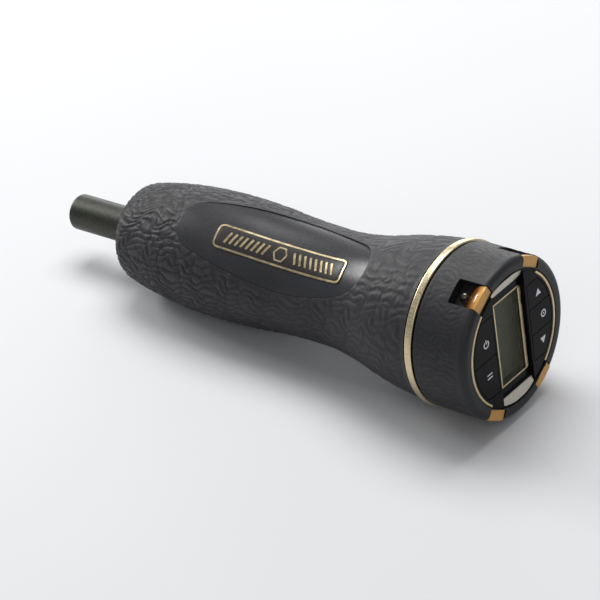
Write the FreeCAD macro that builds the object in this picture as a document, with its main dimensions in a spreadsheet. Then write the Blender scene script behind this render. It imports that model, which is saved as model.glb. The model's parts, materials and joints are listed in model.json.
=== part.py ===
import FreeCAD, Part
import math
import os
from types import SimpleNamespace

import Sketcher
from FreeCAD import Placement, Rotation, Vector

# A digital torque driver. The tool's axis is X: the origin is the centre of the bit socket's mouth, and +X runs
# through the nose, the handle and the display head. +Z is the display's upright direction.
# The handle's pieces are drawn with their smooth panel facing +Z and turned about X by panel_turn.

SHEET_NAME = "dims"

DIMENSIONS = {
    # Overall stations along X and the handle's outline, which is a chain of tangent arcs
    "handle_front": 25.3,
    "handle_end": 143.4,
    "nose_corner": 6.0,
    "bulge_x": 62.0,
    "bulge_radius": 19.2,
    "bulge_front_arc": 150.0,
    "bulge_back_arc": 200.0,
    "waist_x": 101.0,
    "waist_radius": 17.25,
    "waist_back_arc": 75.0,
    "crown_x": 152.0,
    "crown_radius": 24.3,
    "grip_thickness": 2.4,
    "panel_turn": 30.5,
    # Drive shaft and the sensing beam
    "shaft_radius": 5.6,
    "journal_radius": 5.3,
    "journal_start": 25.0,
    "shaft_end": 46.0,
    "shaft_chamfer": 0.7,
    "socket_flats": 6.45,
    "socket_depth": 11.0,
    "magnet_radius": 2.5,
    "magnet_length": 3.0,
    "spigot_radius": 3.2,
    "spigot_start": 33.3,
    "clip_x": 39.3,
    "clip_width": 0.9,
    "clip_groove_radius": 4.8,
    "pin_x": 43.0,
    "pin_radius": 0.98,
    "beam_flats": 7.0,
    "beam_neck_radius": 4.4,
    "flange_x": 70.0,
    "flange_width": 4.0,
    "flange_radius": 12.2,
    "beam_screw_ring": 10.0,
    # Handle core
    "nose_hole_radius": 6.4,
    "bush_seat_x": 28.9,
    "bush_end": 38.7,
    "bush_radius": 8.0,
    "front_bore_radius": 8.2,
    "main_bore_radius": 12.4,
    "main_bore_end": 121.0,
    "spigot_bore_x": 139.0,
    "spigot_bore_radius": 17.5,
    "core_end": 150.0,
    "head_spigot_radius": 21.4,
    "seal_x": 148.2,
    # Smooth panels: an oval outline and a surface that dips towards the waist
    "panel_start": 52.0,
    "panel_end": 122.0,
    "panel_tip_length": 6.5,
    "panel_nose_half": 8.0,
    "panel_head_half": 8.7,
    "panel_side_arc": 118.0,
    "panel_high_x": 58.0,
    "panel_high_radius": 18.95,
    "panel_low_x": 102.0,
    "panel_low_radius": 16.85,
    "panel_rise_arc": 80.0,
    "panel_seat_radius": 14.7,
    "door_gap": 0.25,
    "badge_start": 67.0,
    "badge_end": 114.0,
    "badge_half": 3.9,
    "badge_offset": 1.8,
    "badge_thickness": 0.3,
    "door_screw_x": 118.6,
    # Battery compartment
    "cradle_start": 83.5,
    "cradle_end": 118.0,
    "cradle_wall": 1.3,
    "cradle_bore": 8.1,
    "cradle_depth": 7.5,
    "battery_start": 87.0,
    "battery_length": 27.0,
    "battery_radius": 7.8,
    "bay_half": 8.6,
    # Display head
    "band_start": 143.9,
    "band_end": 146.2,
    "band_radius": 24.55,
    "head_start": 146.7,
    "head_end": 164.3,
    "head_radius": 24.2,
    "head_edge": 2.0,
    "head_bore": 21.5,
    "bezel_radius": 20.35,
    "bezel_back": 160.5,
    "bezel_front": 164.0,
    "trim_inner": 19.35,
    "channel_half": 7.6,
    "channel_floor": 162.5,
    "window_half_width": 6.1,
    "window_half_height": 13.3,
    "notch_angle": 31.0,
    "notch_half": 3.9,
    "notch_start": 154.8,
    "notch_floor": 20.45,
    "ledge_radius": 19.3,
    "board_x": 153.8,
    "board_thickness": 1.2,
    "board_radius": 19.0,
    "post_y": 8.8,
    "post_z": 15.2,
    "post_radius": 1.5,
    "head_screw_ring": 19.4,
    "key_inner": 8.3,
    "key_outer": 18.7,
    "key_half_height": 12.6,
    "key_gap": 0.25,
    "key_travel": 0.6,
    "switch_y": 13.2,
}


class Size:
    """A number worked out from the dimension sheet, with the expression that gives it there."""

    def __init__(self, number, text=None):
        self.number = float(number)
        self.text = text if text else f"{float(number):g}"

    def __add__(self, other):
        other = as_size(other)
        return Size(self.number + other.number, f"({self.text} + {other.text})")

    def __radd__(self, other):
        return as_size(other) + self

    def __sub__(self, other):
        other = as_size(other)
        return Size(self.number - other.number, f"({self.text} - {other.text})")

    def __rsub__(self, other):
        return as_size(other) - self

    def __mul__(self, other):
        other = as_size(other)
        return Size(self.number * other.number, f"({self.text} * {other.text})")

    def __rmul__(self, other):
        return as_size(other) * self

    def __truediv__(self, other):
        other = as_size(other)
        return Size(self.number / other.number, f"({self.text} / {other.text})")

    def __neg__(self):
        return as_size(-1) * self

    def root(self):
        return Size(math.sqrt(self.number), f"sqrt({self.text})")

    def sine(self):
        return Size(math.sin(math.radians(self.number)), f"sin({self.text} * 1 deg)")

    def cosine(self):
        return Size(math.cos(math.radians(self.number)), f"cos({self.text} * 1 deg)")


def as_size(value):
    return value if isinstance(value, Size) else Size(value)


def hypotenuse_side(slant, side):
    """The third side of a right triangle, from its slant and another side."""
    return (slant * slant - side * side).root()


doc = FreeCAD.newDocument("torque_driver")
sheet = doc.addObject("Spreadsheet::Sheet", SHEET_NAME)
for row, (alias, value) in enumerate(DIMENSIONS.items(), start=1):
    sheet.set(f"A{row}", alias)
    sheet.set(f"B{row}", str(value))
    sheet.setAlias(f"B{row}", alias)
doc.recompute()
d = SimpleNamespace(**{name: Size(value, f"{SHEET_NAME}.{name}") for name, value in DIMENSIONS.items()})
parts = []


# ---------------------------------------------------------------- drawing


def bind(item, prop, size):
    """Ties a property to the sheet, or sets it where the size is a plain number."""
    size = as_size(size)
    if SHEET_NAME in size.text:
        item.setExpression(prop, size.text)
    else:
        setattr(item, prop, size.number)


def new_body(label, turn=None, base=None, keep=True):
    """An empty body. turn rotates it about X, in degrees, and base moves it."""
    body = doc.addObject("PartDesign::Body", label)
    body.Label = label
    body.Placement = Placement(Vector(), Rotation(Vector(1, 0, 0), 0))
    if turn is not None:
        body.Placement = Placement(Vector(), Rotation(Vector(1, 0, 0), as_size(turn).number))
        body.setExpression("Placement.Rotation.Angle", f"{as_size(turn).text} * 1 deg")
    for axis, size in zip("xyz", base or ()):
        body.setExpression(f"Placement.Base.{axis}", as_size(size).text)
    if keep:
        parts.append(body)
    return body


def sketch_on(body, plane, start=0):
    """A sketch on one of the body's origin planes, moved along that plane's normal to start."""
    sketch = body.newObject("Sketcher::SketchObject", f"{body.Name}_sketch")
    support = next(o for o in body.Origin.OriginFeatures if o.Role == plane)
    sketch.AttachmentSupport = (support, [""])
    sketch.MapMode = "FlatFace"
    start = as_size(start)
    sketch.AttachmentOffset = Placement(Vector(0, 0, start.number), Rotation())
    if SHEET_NAME in start.text:
        sketch.setExpression("AttachmentOffset.Base.z", start.text)
    return sketch


def constrain(sketch, kind, target, size):
    """Adds a dimension to the sketch and ties it to the sheet."""
    size = as_size(size)
    index = sketch.addConstraint(Sketcher.Constraint(kind, *target, size.number))
    if SHEET_NAME in size.text:
        sketch.setExpression(f"Constraints[{index}]", size.text)


def fix_point(sketch, geometry, point, across, up):
    """Places a sketch point. A coordinate of zero is held on the axis instead."""
    for kind, size, axis in (("DistanceX", as_size(across), -2), ("DistanceY", as_size(up), -1)):
        if abs(size.number) < 1e-9:
            sketch.addConstraint(Sketcher.Constraint("PointOnObject", geometry, point, axis))
        else:
            constrain(sketch, kind, (-1, 1, geometry, point), size)


def arc_between(start, end, radius):
    """The minor arc from start to end. It bows to the left of travel where radius is negative."""
    middle = (start + end) / 2
    chord = end - start
    left = Vector(-chord.y, chord.x, 0).normalize()
    rise = math.sqrt(radius * radius - chord.Length**2 / 4)
    centre = middle + left * math.copysign(rise, radius)
    circle = Part.Circle(centre, Vector(0, 0, 1), abs(radius))
    first, last = (start, end) if radius > 0 else (end, start)
    return Part.ArcOfCircle(circle, circle.parameter(first), circle.parameter(last))


def outline(sketch, corners, bends=None):
    """A closed outline through corners, which are pairs of sizes. bends gives the radius of the edge that
    leaves a corner: positive where the arc turns left, negative where it turns right."""
    bends = bends or {}
    corners = [(as_size(a), as_size(b)) for a, b in corners]
    places = [Vector(a.number, b.number, 0) for a, b in corners]
    edges = []
    for i, place in enumerate(places):
        after = places[(i + 1) % len(places)]
        bend = bends.get(i)
        if bend is None:
            index = sketch.addGeometry(Part.LineSegment(place, after))
        else:
            index = sketch.addGeometry(arc_between(place, after, as_size(bend).number))
        forward = bend is None or as_size(bend).number > 0
        edges.append((index, 1 if forward else 2, 2 if forward else 1))
    for i, (index, first, last) in enumerate(edges):
        next_index, next_first, _ = edges[(i + 1) % len(edges)]
        sketch.addConstraint(Sketcher.Constraint("Coincident", index, last, next_index, next_first))
        fix_point(sketch, index, first, *corners[i])
        if i in bends:
            bend = as_size(bends[i])
            constrain(sketch, "Radius", (index,), bend if bend.number > 0 else -bend)


def rectangle(sketch, low, high):
    outline(sketch, [low, (high[0], low[1]), high, (low[0], high[1])])


def circle(sketch, centre, radius):
    index = sketch.addGeometry(Part.Circle(Vector(as_size(centre[0]).number, as_size(centre[1]).number, 0),
                                           Vector(0, 0, 1), as_size(radius).number))
    fix_point(sketch, index, 3, *centre)
    constrain(sketch, "Radius", (index,), radius)


def revolve(body, corners, bends=None, cut=False):
    """Turns an outline of (x, radius) corners about the tool's axis, as a solid or as a cut."""
    sketch = sketch_on(body, "XY_Plane")
    outline(sketch, corners, bends)
    kind = "PartDesign::Groove" if cut else "PartDesign::Revolution"
    feature = body.newObject(kind, f"{body.Name}_turn")
    feature.Profile = sketch
    feature.ReferenceAxis = (sketch, ["H_Axis"])
    feature.Angle = 360
    return feature


def extrude(body, sketch, length, cut=False, back=False, both=False):
    """Pads or pockets a sketch by length along its normal, or against it where back is set."""
    kind = "PartDesign::Pocket" if cut else "PartDesign::Pad"
    feature = body.newObject(kind, f"{body.Name}_run")
    feature.Profile = sketch
    bind(feature, "Length", length)
    feature.Midplane = both
    feature.Reversed = back != cut
    return feature


def disc(body, start, length, centre, radius, cut=False):
    """A round pad or hole along +X from start."""
    sketch = sketch_on(body, "YZ_Plane", start)
    circle(sketch, centre, radius)
    return extrude(body, sketch, length, cut=cut)


def block(body, low, high, cut=False):
    """A box from corner low to corner high, or the hole of that shape."""
    sketch = sketch_on(body, "YZ_Plane", low[0])
    rectangle(sketch, low[1:], high[1:])
    return extrude(body, sketch, as_size(high[0]) - low[0], cut=cut)


def ring(label, start, end, inner, outer, **place):
    body = new_body(label, **place)
    revolve(body, [(start, inner), (start, outer), (end, outer), (end, inner)])
    return body


def join(label, pieces):
    """One sub-part made of several separate, identical solids."""
    group = doc.addObject("Part::Compound", label)
    group.Label = label
    group.Links = pieces
    parts.append(group)
    return group


def subtract(label, base, *tools):
    """One sub-part made by cutting tools out of base."""
    shape = base
    for index, tool in enumerate(tools):
        last = index == len(tools) - 1
        cut = doc.addObject("Part::Cut", label if last else f"{label}_cut")
        cut.Base = shape
        cut.Tool = tool
        shape = cut
    shape.Label = label
    parts.append(shape)
    return shape


def spread(count, first=0.0):
    """Angles about X, in degrees, of pieces spaced evenly on a ring."""
    return [first + 360.0 * i / count for i in range(count)]


def around(radius, angle):
    """The (y, z) point on a ring, at an angle from +Z that is positive towards -Y."""
    angle = as_size(angle)
    return (-(angle.sine() * radius), angle.cosine() * radius)


# ---------------------------------------------------------------- outlines that several pieces share


def handle_outline(inset):
    """Corners and bends along the handle's side, from its front face to its back end, inset from the skin."""
    lift = d.bulge_radius - d.bulge_front_arc
    reach = d.bulge_x - d.handle_front - d.nose_corner
    inner_arc = d.bulge_front_arc - d.nose_corner
    corner_height = hypotenuse_side(inner_arc, reach)
    front_share = (d.bulge_front_arc - inset) / inner_arc
    waist_run = d.waist_x - d.bulge_x
    waist_drop = d.bulge_radius - d.waist_radius
    waist_sum = (waist_run * waist_run + waist_drop * waist_drop) / (waist_drop * 2)
    bulge_share = (d.bulge_back_arc - inset) / waist_sum
    crown_run = d.crown_x - d.waist_x
    crown_rise = d.crown_radius - d.waist_radius
    crown_sum = (crown_run * crown_run + crown_rise * crown_rise) / (crown_rise * 2)
    crown_arc = crown_sum - d.waist_back_arc
    waist_share = (d.waist_back_arc + inset) / crown_sum
    end_height = hypotenuse_side(crown_arc - inset, d.crown_x - d.handle_end)
    corners = [
        (d.handle_front + inset, lift + corner_height),
        (d.bulge_x - reach * front_share, lift + corner_height * front_share),
        (d.bulge_x, d.bulge_radius - inset),
        (d.bulge_x + waist_run * bulge_share,
         d.bulge_radius - d.bulge_back_arc + (waist_sum - waist_drop) * bulge_share),
        (d.waist_x, d.waist_radius - inset),
        (d.waist_x + crown_run * waist_share,
         d.waist_radius + d.waist_back_arc - (crown_sum - crown_rise) * waist_share),
        (d.handle_end, d.crown_radius - crown_arc + end_height),
    ]
    bends = [
        -(d.nose_corner - inset),
        -(d.bulge_front_arc - inset),
        -(d.bulge_back_arc - inset),
        waist_sum - d.bulge_back_arc + inset,
        d.waist_back_arc + inset,
        -(crown_arc - inset),
    ]
    return corners, bends


def panel_surface(lift, top):
    """A cutter's outline above the smooth panel's surface, raised by lift, and below the radius top."""
    half_run = (d.panel_low_x - d.panel_high_x) / 2
    drop = d.panel_high_radius - d.panel_low_radius
    arc = (half_run * half_run * 4 + drop * drop) / (drop * 4)
    middle = (d.panel_high_x + half_run, (d.panel_high_radius + d.panel_low_radius) / 2 + lift)
    start = d.panel_start - 3
    end = d.panel_end + 3
    start_drop = arc - hypotenuse_side(arc, d.panel_high_x - start)
    end_rise = d.panel_rise_arc - hypotenuse_side(d.panel_rise_arc, end - d.panel_low_x)
    corners = [
        (start, d.panel_high_radius + lift - start_drop),
        middle,
        (d.panel_low_x, d.panel_low_radius + lift),
        (end, d.panel_low_radius + lift + end_rise),
        (end, top),
        (start, top),
    ]
    return corners, {0: -arc, 1: arc, 2: d.panel_rise_arc}


def oval(sketch, margin):
    """The smooth panel's oval, shrunk all round by margin."""
    tip = d.panel_tip_length
    nose_x = d.panel_start + tip
    head_x = d.panel_end - tip
    nose_half = d.panel_nose_half - margin
    head_half = d.panel_head_half - margin
    nose_arc = (d.panel_nose_half * d.panel_nose_half + tip * tip) / (tip * 2) - margin
    head_arc = (d.panel_head_half * d.panel_head_half + tip * tip) / (tip * 2) - margin
    corners = [(nose_x, nose_half), (nose_x, -nose_half), (head_x, -head_half), (head_x, head_half)]
    side_arc = d.panel_side_arc - margin
    outline(sketch, corners, {0: nose_arc, 1: side_arc, 2: head_arc, 3: side_arc})


PANEL_TOP = 26
PANEL_BOTTOM = 6


def panel_block(label, margin, seat, turn, keep=True):
    """An oval block above the radius seat, facing +Z before it is turned."""
    body = new_body(label, turn=turn, keep=keep)
    sketch = sketch_on(body, "XY_Plane", PANEL_BOTTOM)
    oval(sketch, margin)
    extrude(body, sketch, PANEL_TOP - PANEL_BOTTOM)
    start = d.panel_start - 3
    end = d.panel_end + 3
    revolve(body, [(start, 0), (start, seat), (end, seat), (end, 0)], cut=True)
    return body


def smooth_panel(label, margin, seat, turn):
    """A smooth oval inlay with its dipping surface."""
    body = panel_block(label, margin, seat, turn)
    revolve(body, *panel_surface(Size(0), Size(PANEL_TOP + 9)), cut=True)
    return body


# ---------------------------------------------------------------- drive train


def drive_shaft():
    body = new_body("drive_shaft", turn=d.panel_turn)
    spigot_bore = d.spigot_radius + 0.05
    revolve(body, [
        (0, 0),
        (0, d.shaft_radius - d.shaft_chamfer),
        (d.shaft_chamfer, d.shaft_radius),
        (d.journal_start, d.shaft_radius),
        (d.journal_start, d.journal_radius),
        (d.clip_x, d.journal_radius),
        (d.clip_x, d.clip_groove_radius),
        (d.clip_x + d.clip_width, d.clip_groove_radius),
        (d.clip_x + d.clip_width, d.journal_radius),
        (d.shaft_end, d.journal_radius),
        (d.shaft_end, spigot_bore),
        (d.spigot_start - 0.3, spigot_bore),
        (d.spigot_start - 0.3, 0),
    ])
    half = d.socket_flats / 2
    side = half * (2 / math.sqrt(3))
    socket = sketch_on(body, "YZ_Plane")
    outline(socket, [(half, -side / 2), (half, side / 2), (0, side), (-half, side / 2), (-half, -side / 2),
                     (0, -side)])
    extrude(body, socket, d.socket_depth, cut=True)
    mouth = side + 0.35
    revolve(body, [(0, 0), (0, mouth), (mouth - half, half), (mouth - half, 0)], cut=True)
    disc(body, d.socket_depth, d.magnet_length, (0, 0), d.magnet_radius + 0.05, cut=True)
    cross = sketch_on(body, "XZ_Plane")
    circle(cross, (d.pin_x, 0), d.pin_radius + 0.02)
    extrude(body, cross, d.shaft_radius * 3, cut=True, both=True)


def bit_magnet():
    body = new_body("bit_magnet")
    disc(body, d.socket_depth, d.magnet_length - 0.05, (0, 0), d.magnet_radius)


def nose_bearing():
    bush_bore = d.journal_radius + 0.05
    ring("nose_bush", d.bush_seat_x, d.bush_end, bush_bore, d.bush_radius - 0.03)
    ring("thrust_washer", d.bush_end + 0.05, d.clip_x - 0.05, bush_bore + 0.1, d.bush_radius - 0.4)
    clip = new_body("shaft_circlip")
    outer = d.clip_groove_radius + 1.9
    revolve(clip, [
        (d.clip_x, d.clip_groove_radius),
        (d.clip_x, outer),
        (d.clip_x + d.clip_width, outer),
        (d.clip_x + d.clip_width, d.clip_groove_radius),
    ])
    gap = 1.6
    block(clip, (d.clip_x, -gap, 0), (d.clip_x + d.clip_width, gap, outer + 1), cut=True)


def torsion_beam():
    body = new_body("torsion_beam", turn=d.panel_turn)
    collar_end = d.shaft_end + 2
    flange_end = d.flange_x + d.flange_width
    revolve(body, [
        (d.spigot_start, 0),
        (d.spigot_start, d.spigot_radius),
        (d.shaft_end, d.spigot_radius),
        (d.shaft_end, d.journal_radius),
        (collar_end, d.journal_radius),
        (collar_end, d.beam_neck_radius),
        (d.flange_x, d.beam_neck_radius),
        (d.flange_x, d.flange_radius),
        (flange_end, d.flange_radius),
        (flange_end, 0),
    ])
    half = d.beam_flats / 2
    flats = sketch_on(body, "YZ_Plane", collar_end + 2)
    rectangle(flats, (-6, -6), (6, 6))
    rectangle(flats, (-half, -half), (half, half))
    extrude(body, flats, d.flange_x - collar_end - 4, cut=True)
    holes = sketch_on(body, "YZ_Plane", d.flange_x)
    for angle in spread(3):
        circle(holes, around(d.beam_screw_ring, angle), 1.15)
    rectangle(holes, (5.6, -2), (7.2, 2))
    extrude(body, holes, d.flange_width, cut=True)
    cross = sketch_on(body, "XZ_Plane")
    circle(cross, (d.pin_x, 0), d.pin_radius + 0.02)
    extrude(body, cross, d.shaft_radius * 3, cut=True, both=True)


def strain_gauges():
    pieces = []
    foil = 0.15
    half = d.beam_flats / 2
    for index, angle in enumerate(spread(4)):
        body = new_body(f"gauge_{index + 1}", turn=d.panel_turn + angle, keep=False)
        block(body, (56, -1.6, half), (62, 1.6, half + foil))
        pieces.append(body)
    join("strain_gauges", pieces)


def coupling_pin():
    body = new_body("coupling_pin", turn=d.panel_turn)
    sketch = sketch_on(body, "XZ_Plane")
    circle(sketch, (d.pin_x, 0), d.pin_radius)
    extrude(body, sketch, d.journal_radius * 2 - 0.4, both=True)


def cap_screws(label, count, ring_radius, seat_x, shank, radius, head_radius, head_height, turn, first=0.0):
    """Screws on a ring, parallel to X, with their heads on the +X side of seat_x."""
    pieces = []
    for index, angle in enumerate(spread(count, first)):
        y, z = around(ring_radius, angle)
        body = new_body(f"{label}_{index + 1}", turn=turn, keep=False)
        disc(body, seat_x - shank, shank, (y, z), radius)
        disc(body, seat_x, head_height, (y, z), head_radius)
        slot = head_radius * 0.55
        for across, up in ((slot, slot * 0.3), (slot * 0.3, slot)):
            drive = sketch_on(body, "YZ_Plane", seat_x + head_height * 0.4)
            rectangle(drive, (y - across, z - up), (y + across, z + up))
            extrude(body, drive, head_height, cut=True)
        pieces.append(body)
    join(label, pieces)


def sensor_lead():
    """The gauges' flat lead: along the beam, through the flange's slot, then outwards to the bore's wall."""
    body = new_body("sensor_lead", turn=d.panel_turn)
    sketch = sketch_on(body, "XY_Plane", -1.5)
    foil = 0.4
    low = 6.2
    high = 11.0
    flange_end = d.flange_x + d.flange_width
    outline(sketch, [
        (60, low),
        (flange_end + 2, low),
        (flange_end + 6, high),
        (d.board_x, high),
        (d.board_x, high + foil),
        (flange_end + 6 - foil / 2, high + foil),
        (flange_end + 2 - foil / 2, low + foil),
        (60, low + foil),
    ])
    extrude(body, sketch, 3)


# ---------------------------------------------------------------- handle


def core_and_grip():
    """The hard core and its rubber sleeve, both with the two oval recesses, and the core's battery window."""
    badge_space = panel_block("badge_panel_space", Size(-0.02), d.panel_seat_radius, d.panel_turn, keep=False)
    door_space = panel_block("door_space", Size(0), d.panel_seat_radius, d.panel_turn + 180, keep=False)

    core = new_body("handle_core_blank", turn=d.panel_turn, keep=False)
    corners, bends = handle_outline(d.grip_thickness)
    front = (d.handle_front + d.grip_thickness, d.nose_hole_radius)
    inside = [
        (d.handle_end, d.head_spigot_radius),
        (d.core_end, d.head_spigot_radius),
        (d.core_end, d.spigot_bore_radius),
        (d.spigot_bore_x, d.spigot_bore_radius),
        (d.main_bore_end, d.main_bore_radius),
        (d.flange_x, d.main_bore_radius),
        (d.flange_x, d.front_bore_radius),
        (d.bush_end, d.front_bore_radius),
        (d.bush_end, d.bush_radius),
        (d.bush_seat_x, d.bush_radius),
        (d.bush_seat_x, d.nose_hole_radius),
    ]
    revolve(core, [front, *corners, *inside], {i + 1: bend for i, bend in enumerate(bends)})
    groove_low = d.head_spigot_radius - 1.0
    revolve(core, [(d.seal_x - 0.8, groove_low), (d.seal_x - 0.8, d.head_bore), (d.seal_x + 0.8, d.head_bore),
                   (d.seal_x + 0.8, groove_low)], cut=True)
    holes = sketch_on(core, "YZ_Plane", d.core_end - 6)
    for angle in spread(3):
        circle(holes, around(d.head_screw_ring, d.panel_turn * -1 + angle), 0.85)
    extrude(core, holes, 6, cut=True)
    holes = sketch_on(core, "YZ_Plane", d.flange_x - 8)
    for angle in spread(3):
        circle(holes, around(d.beam_screw_ring, angle), 0.95)
    extrude(core, holes, 8, cut=True)
    window = sketch_on(core, "XY_Plane")
    rectangle(window, (d.cradle_start + 1.3, -d.bay_half), (d.cradle_end - 1.8, d.bay_half))
    circle(window, (d.door_screw_x, 0), 1.35)
    extrude(core, window, PANEL_TOP, cut=True, back=True)
    subtract("handle_core", core, badge_space, door_space)

    grip = new_body("grip_blank", turn=d.panel_turn, keep=False)
    outer_corners, outer_bends = handle_outline(Size(0))
    inner = [(x, r) for x, r in reversed(corners)]
    inner_bends = [-bend for bend in reversed(bends)]
    run = [(d.handle_front, d.nose_hole_radius), *outer_corners, *inner, front]
    all_bends = {i + 1: bend for i, bend in enumerate(outer_bends)}
    first_inner = len(outer_corners) + 1
    all_bends.update({first_inner + i: bend for i, bend in enumerate(inner_bends)})
    revolve(grip, run, all_bends)
    subtract("grip_sleeve", grip, badge_space, door_space)


def badge():
    """A thin blank plate on the smooth panel."""
    body = new_body("badge", turn=d.panel_turn)
    sketch = sketch_on(body, "XY_Plane", PANEL_BOTTOM)
    corner = 1.6
    low = -d.badge_offset - d.badge_half
    high = -d.badge_offset + d.badge_half
    start = d.badge_start
    end = d.badge_end
    outline(sketch, [
        (start + corner, low),
        (end - corner, low),
        (end, low + corner),
        (end, high - corner),
        (end - corner, high),
        (start + corner, high),
        (start, high - corner),
        (start, low + corner),
    ], {1: corner, 3: corner, 5: corner, 7: corner})
    extrude(body, sketch, PANEL_TOP - PANEL_BOTTOM)
    revolve(body, *panel_surface(d.badge_thickness, Size(PANEL_TOP + 9)), cut=True)
    revolve(body, *panel_surface(Size(0), Size(0)), cut=True)


def battery_door():
    body = smooth_panel("battery_door", d.door_gap, d.panel_seat_radius + 0.15, d.panel_turn + 180)
    hole = sketch_on(body, "XY_Plane")
    circle(hole, (d.door_screw_x, 0), 1.35)
    extrude(body, hole, PANEL_TOP, cut=True, back=False)
    head = sketch_on(body, "XY_Plane", d.panel_low_radius - 0.4)
    circle(head, (d.door_screw_x, 0), 2.35)
    extrude(body, head, PANEL_TOP, cut=True, back=False)


def door_screw():
    body = new_body("door_screw", turn=d.panel_turn + 180)
    shank = sketch_on(body, "XY_Plane", d.main_bore_radius + 0.3)
    circle(shank, (d.door_screw_x, 0), 1.2)
    extrude(body, shank, d.panel_low_radius - d.main_bore_radius - 0.6)
    head = sketch_on(body, "XY_Plane", d.panel_low_radius - 0.35)
    circle(head, (d.door_screw_x, 0), 2.2)
    extrude(body, head, 1.3)
    for across, up in ((1.3, 0.3), (0.3, 1.3)):
        drive = sketch_on(body, "XY_Plane", d.panel_low_radius + 0.15)
        rectangle(drive, (d.door_screw_x - across, -up), (d.door_screw_x + across, up))
        extrude(body, drive, 3, cut=True)


def battery_cradle():
    body = new_body("battery_cradle", turn=d.panel_turn)
    outer = d.cradle_bore + d.cradle_wall
    end_wall = 1.5
    solid = sketch_on(body, "YZ_Plane", d.cradle_start)
    outline(solid, [(outer, -d.cradle_depth), (outer, 0), (-outer, 0), (-outer, -d.cradle_depth)], {1: outer + 0.001})
    extrude(body, solid, d.cradle_end - d.cradle_start)
    bore = d.cradle_bore
    hollow = sketch_on(body, "YZ_Plane", d.cradle_start + end_wall)
    outline(hollow, [(bore, -d.cradle_depth - 1), (bore, 0), (-bore, 0), (-bore, -d.cradle_depth - 1)],
            {1: bore + 0.001})
    extrude(body, hollow, d.cradle_end - d.cradle_start - end_wall * 2, cut=True)


def contacts():
    """Two spring-steel leaves that press on the battery's ends."""
    foil = 0.35
    inner_start = d.cradle_start + 1.5
    inner_end = d.cradle_end - 1.5
    battery_end = d.battery_start + d.battery_length
    for label, wall, tip, side in (("contact_negative", inner_start, d.battery_start - 0.1, 1),
                                   ("contact_positive", inner_end, battery_end + 0.1, -1)):
        body = new_body(label, turn=d.panel_turn)
        sketch = sketch_on(body, "XZ_Plane")
        face = wall + foil * side
        crest = tip - foil * side
        outline(sketch, [
            (wall, -6),
            (wall, 6),
            (face, 6),
            (face, -3.5),
            (crest, -0.8),
            (crest, 1.5),
            (tip, 1.5),
            (tip, -1),
            (face, -4.2),
            (face, -6),
        ][::side])
        extrude(body, sketch, 7, both=True)


def battery():
    body = new_body("battery", turn=d.panel_turn)
    start = d.battery_start
    end = start + d.battery_length
    nub = 1.0
    edge = 0.5
    revolve(body, [(start, 0), (start, d.battery_radius - edge), (start + edge, d.battery_radius),
                   (end - nub - edge, d.battery_radius), (end - nub, d.battery_radius - edge), (end - nub, 3.1),
                   (end, 3.1), (end, 0)], {1: -Size(edge), 3: -Size(edge)})


def battery_leads():
    """Two wires from the contacts to the board."""
    pieces = []
    radius = 0.55
    for index, side in enumerate((-1, 1)):
        body = new_body(f"battery_lead_{index + 1}", turn=d.panel_turn, keep=False)
        disc(body, d.cradle_end, d.board_x - d.cradle_end, (side * 4, 5), radius)
        pieces.append(body)
    join("battery_leads", pieces)


# ---------------------------------------------------------------- display head


def head_shell():
    body = new_body("head_shell")
    edge = d.head_edge
    flange_start = d.core_end + 0.05
    flange_end = d.core_end + 1.4
    revolve(body, [
        (d.head_start, d.head_bore),
        (d.head_start, d.head_radius - 0.3),
        (d.head_start + 0.3, d.head_radius),
        (d.head_end - edge, d.head_radius),
        (d.head_end, d.head_radius - edge),
        (d.head_end, d.notch_floor),
        (d.bezel_back - 0.1, d.notch_floor),
        (d.bezel_back - 0.1, d.ledge_radius),
        (flange_end + 2, d.ledge_radius),
        (flange_end + 2, d.head_bore),
        (flange_end, d.head_bore),
        (flange_end, d.spigot_bore_radius + 0.1),
        (flange_start, d.spigot_bore_radius + 0.1),
        (flange_start, d.head_bore),
    ], {3: -edge})
    notches = sketch_on(body, "YZ_Plane", d.notch_start)
    for turn in (0, 180):
        for side in (-1, 1):
            angle = d.notch_angle * side + turn
            notch_corners(notches, angle)
    extrude(body, notches, 12, cut=True)
    holes = sketch_on(body, "YZ_Plane", flange_start)
    for angle in spread(3):
        circle(holes, around(d.head_screw_ring, angle), 1.1)
    extrude(body, holes, 1.35, cut=True)


def notch_corners(sketch, angle):
    """One side notch: a rectangle that faces outwards at an angle from +Z."""
    radial = (-angle.sine(), angle.cosine())
    across = (angle.cosine(), angle.sine())
    places = []
    for width, height in ((-1, d.notch_floor), (1, d.notch_floor), (1, Size(27)), (-1, Size(27))):
        step = d.notch_half * width
        places.append((radial[0] * height + across[0] * step, radial[1] * height + across[1] * step))
    outline(sketch, places)


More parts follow.
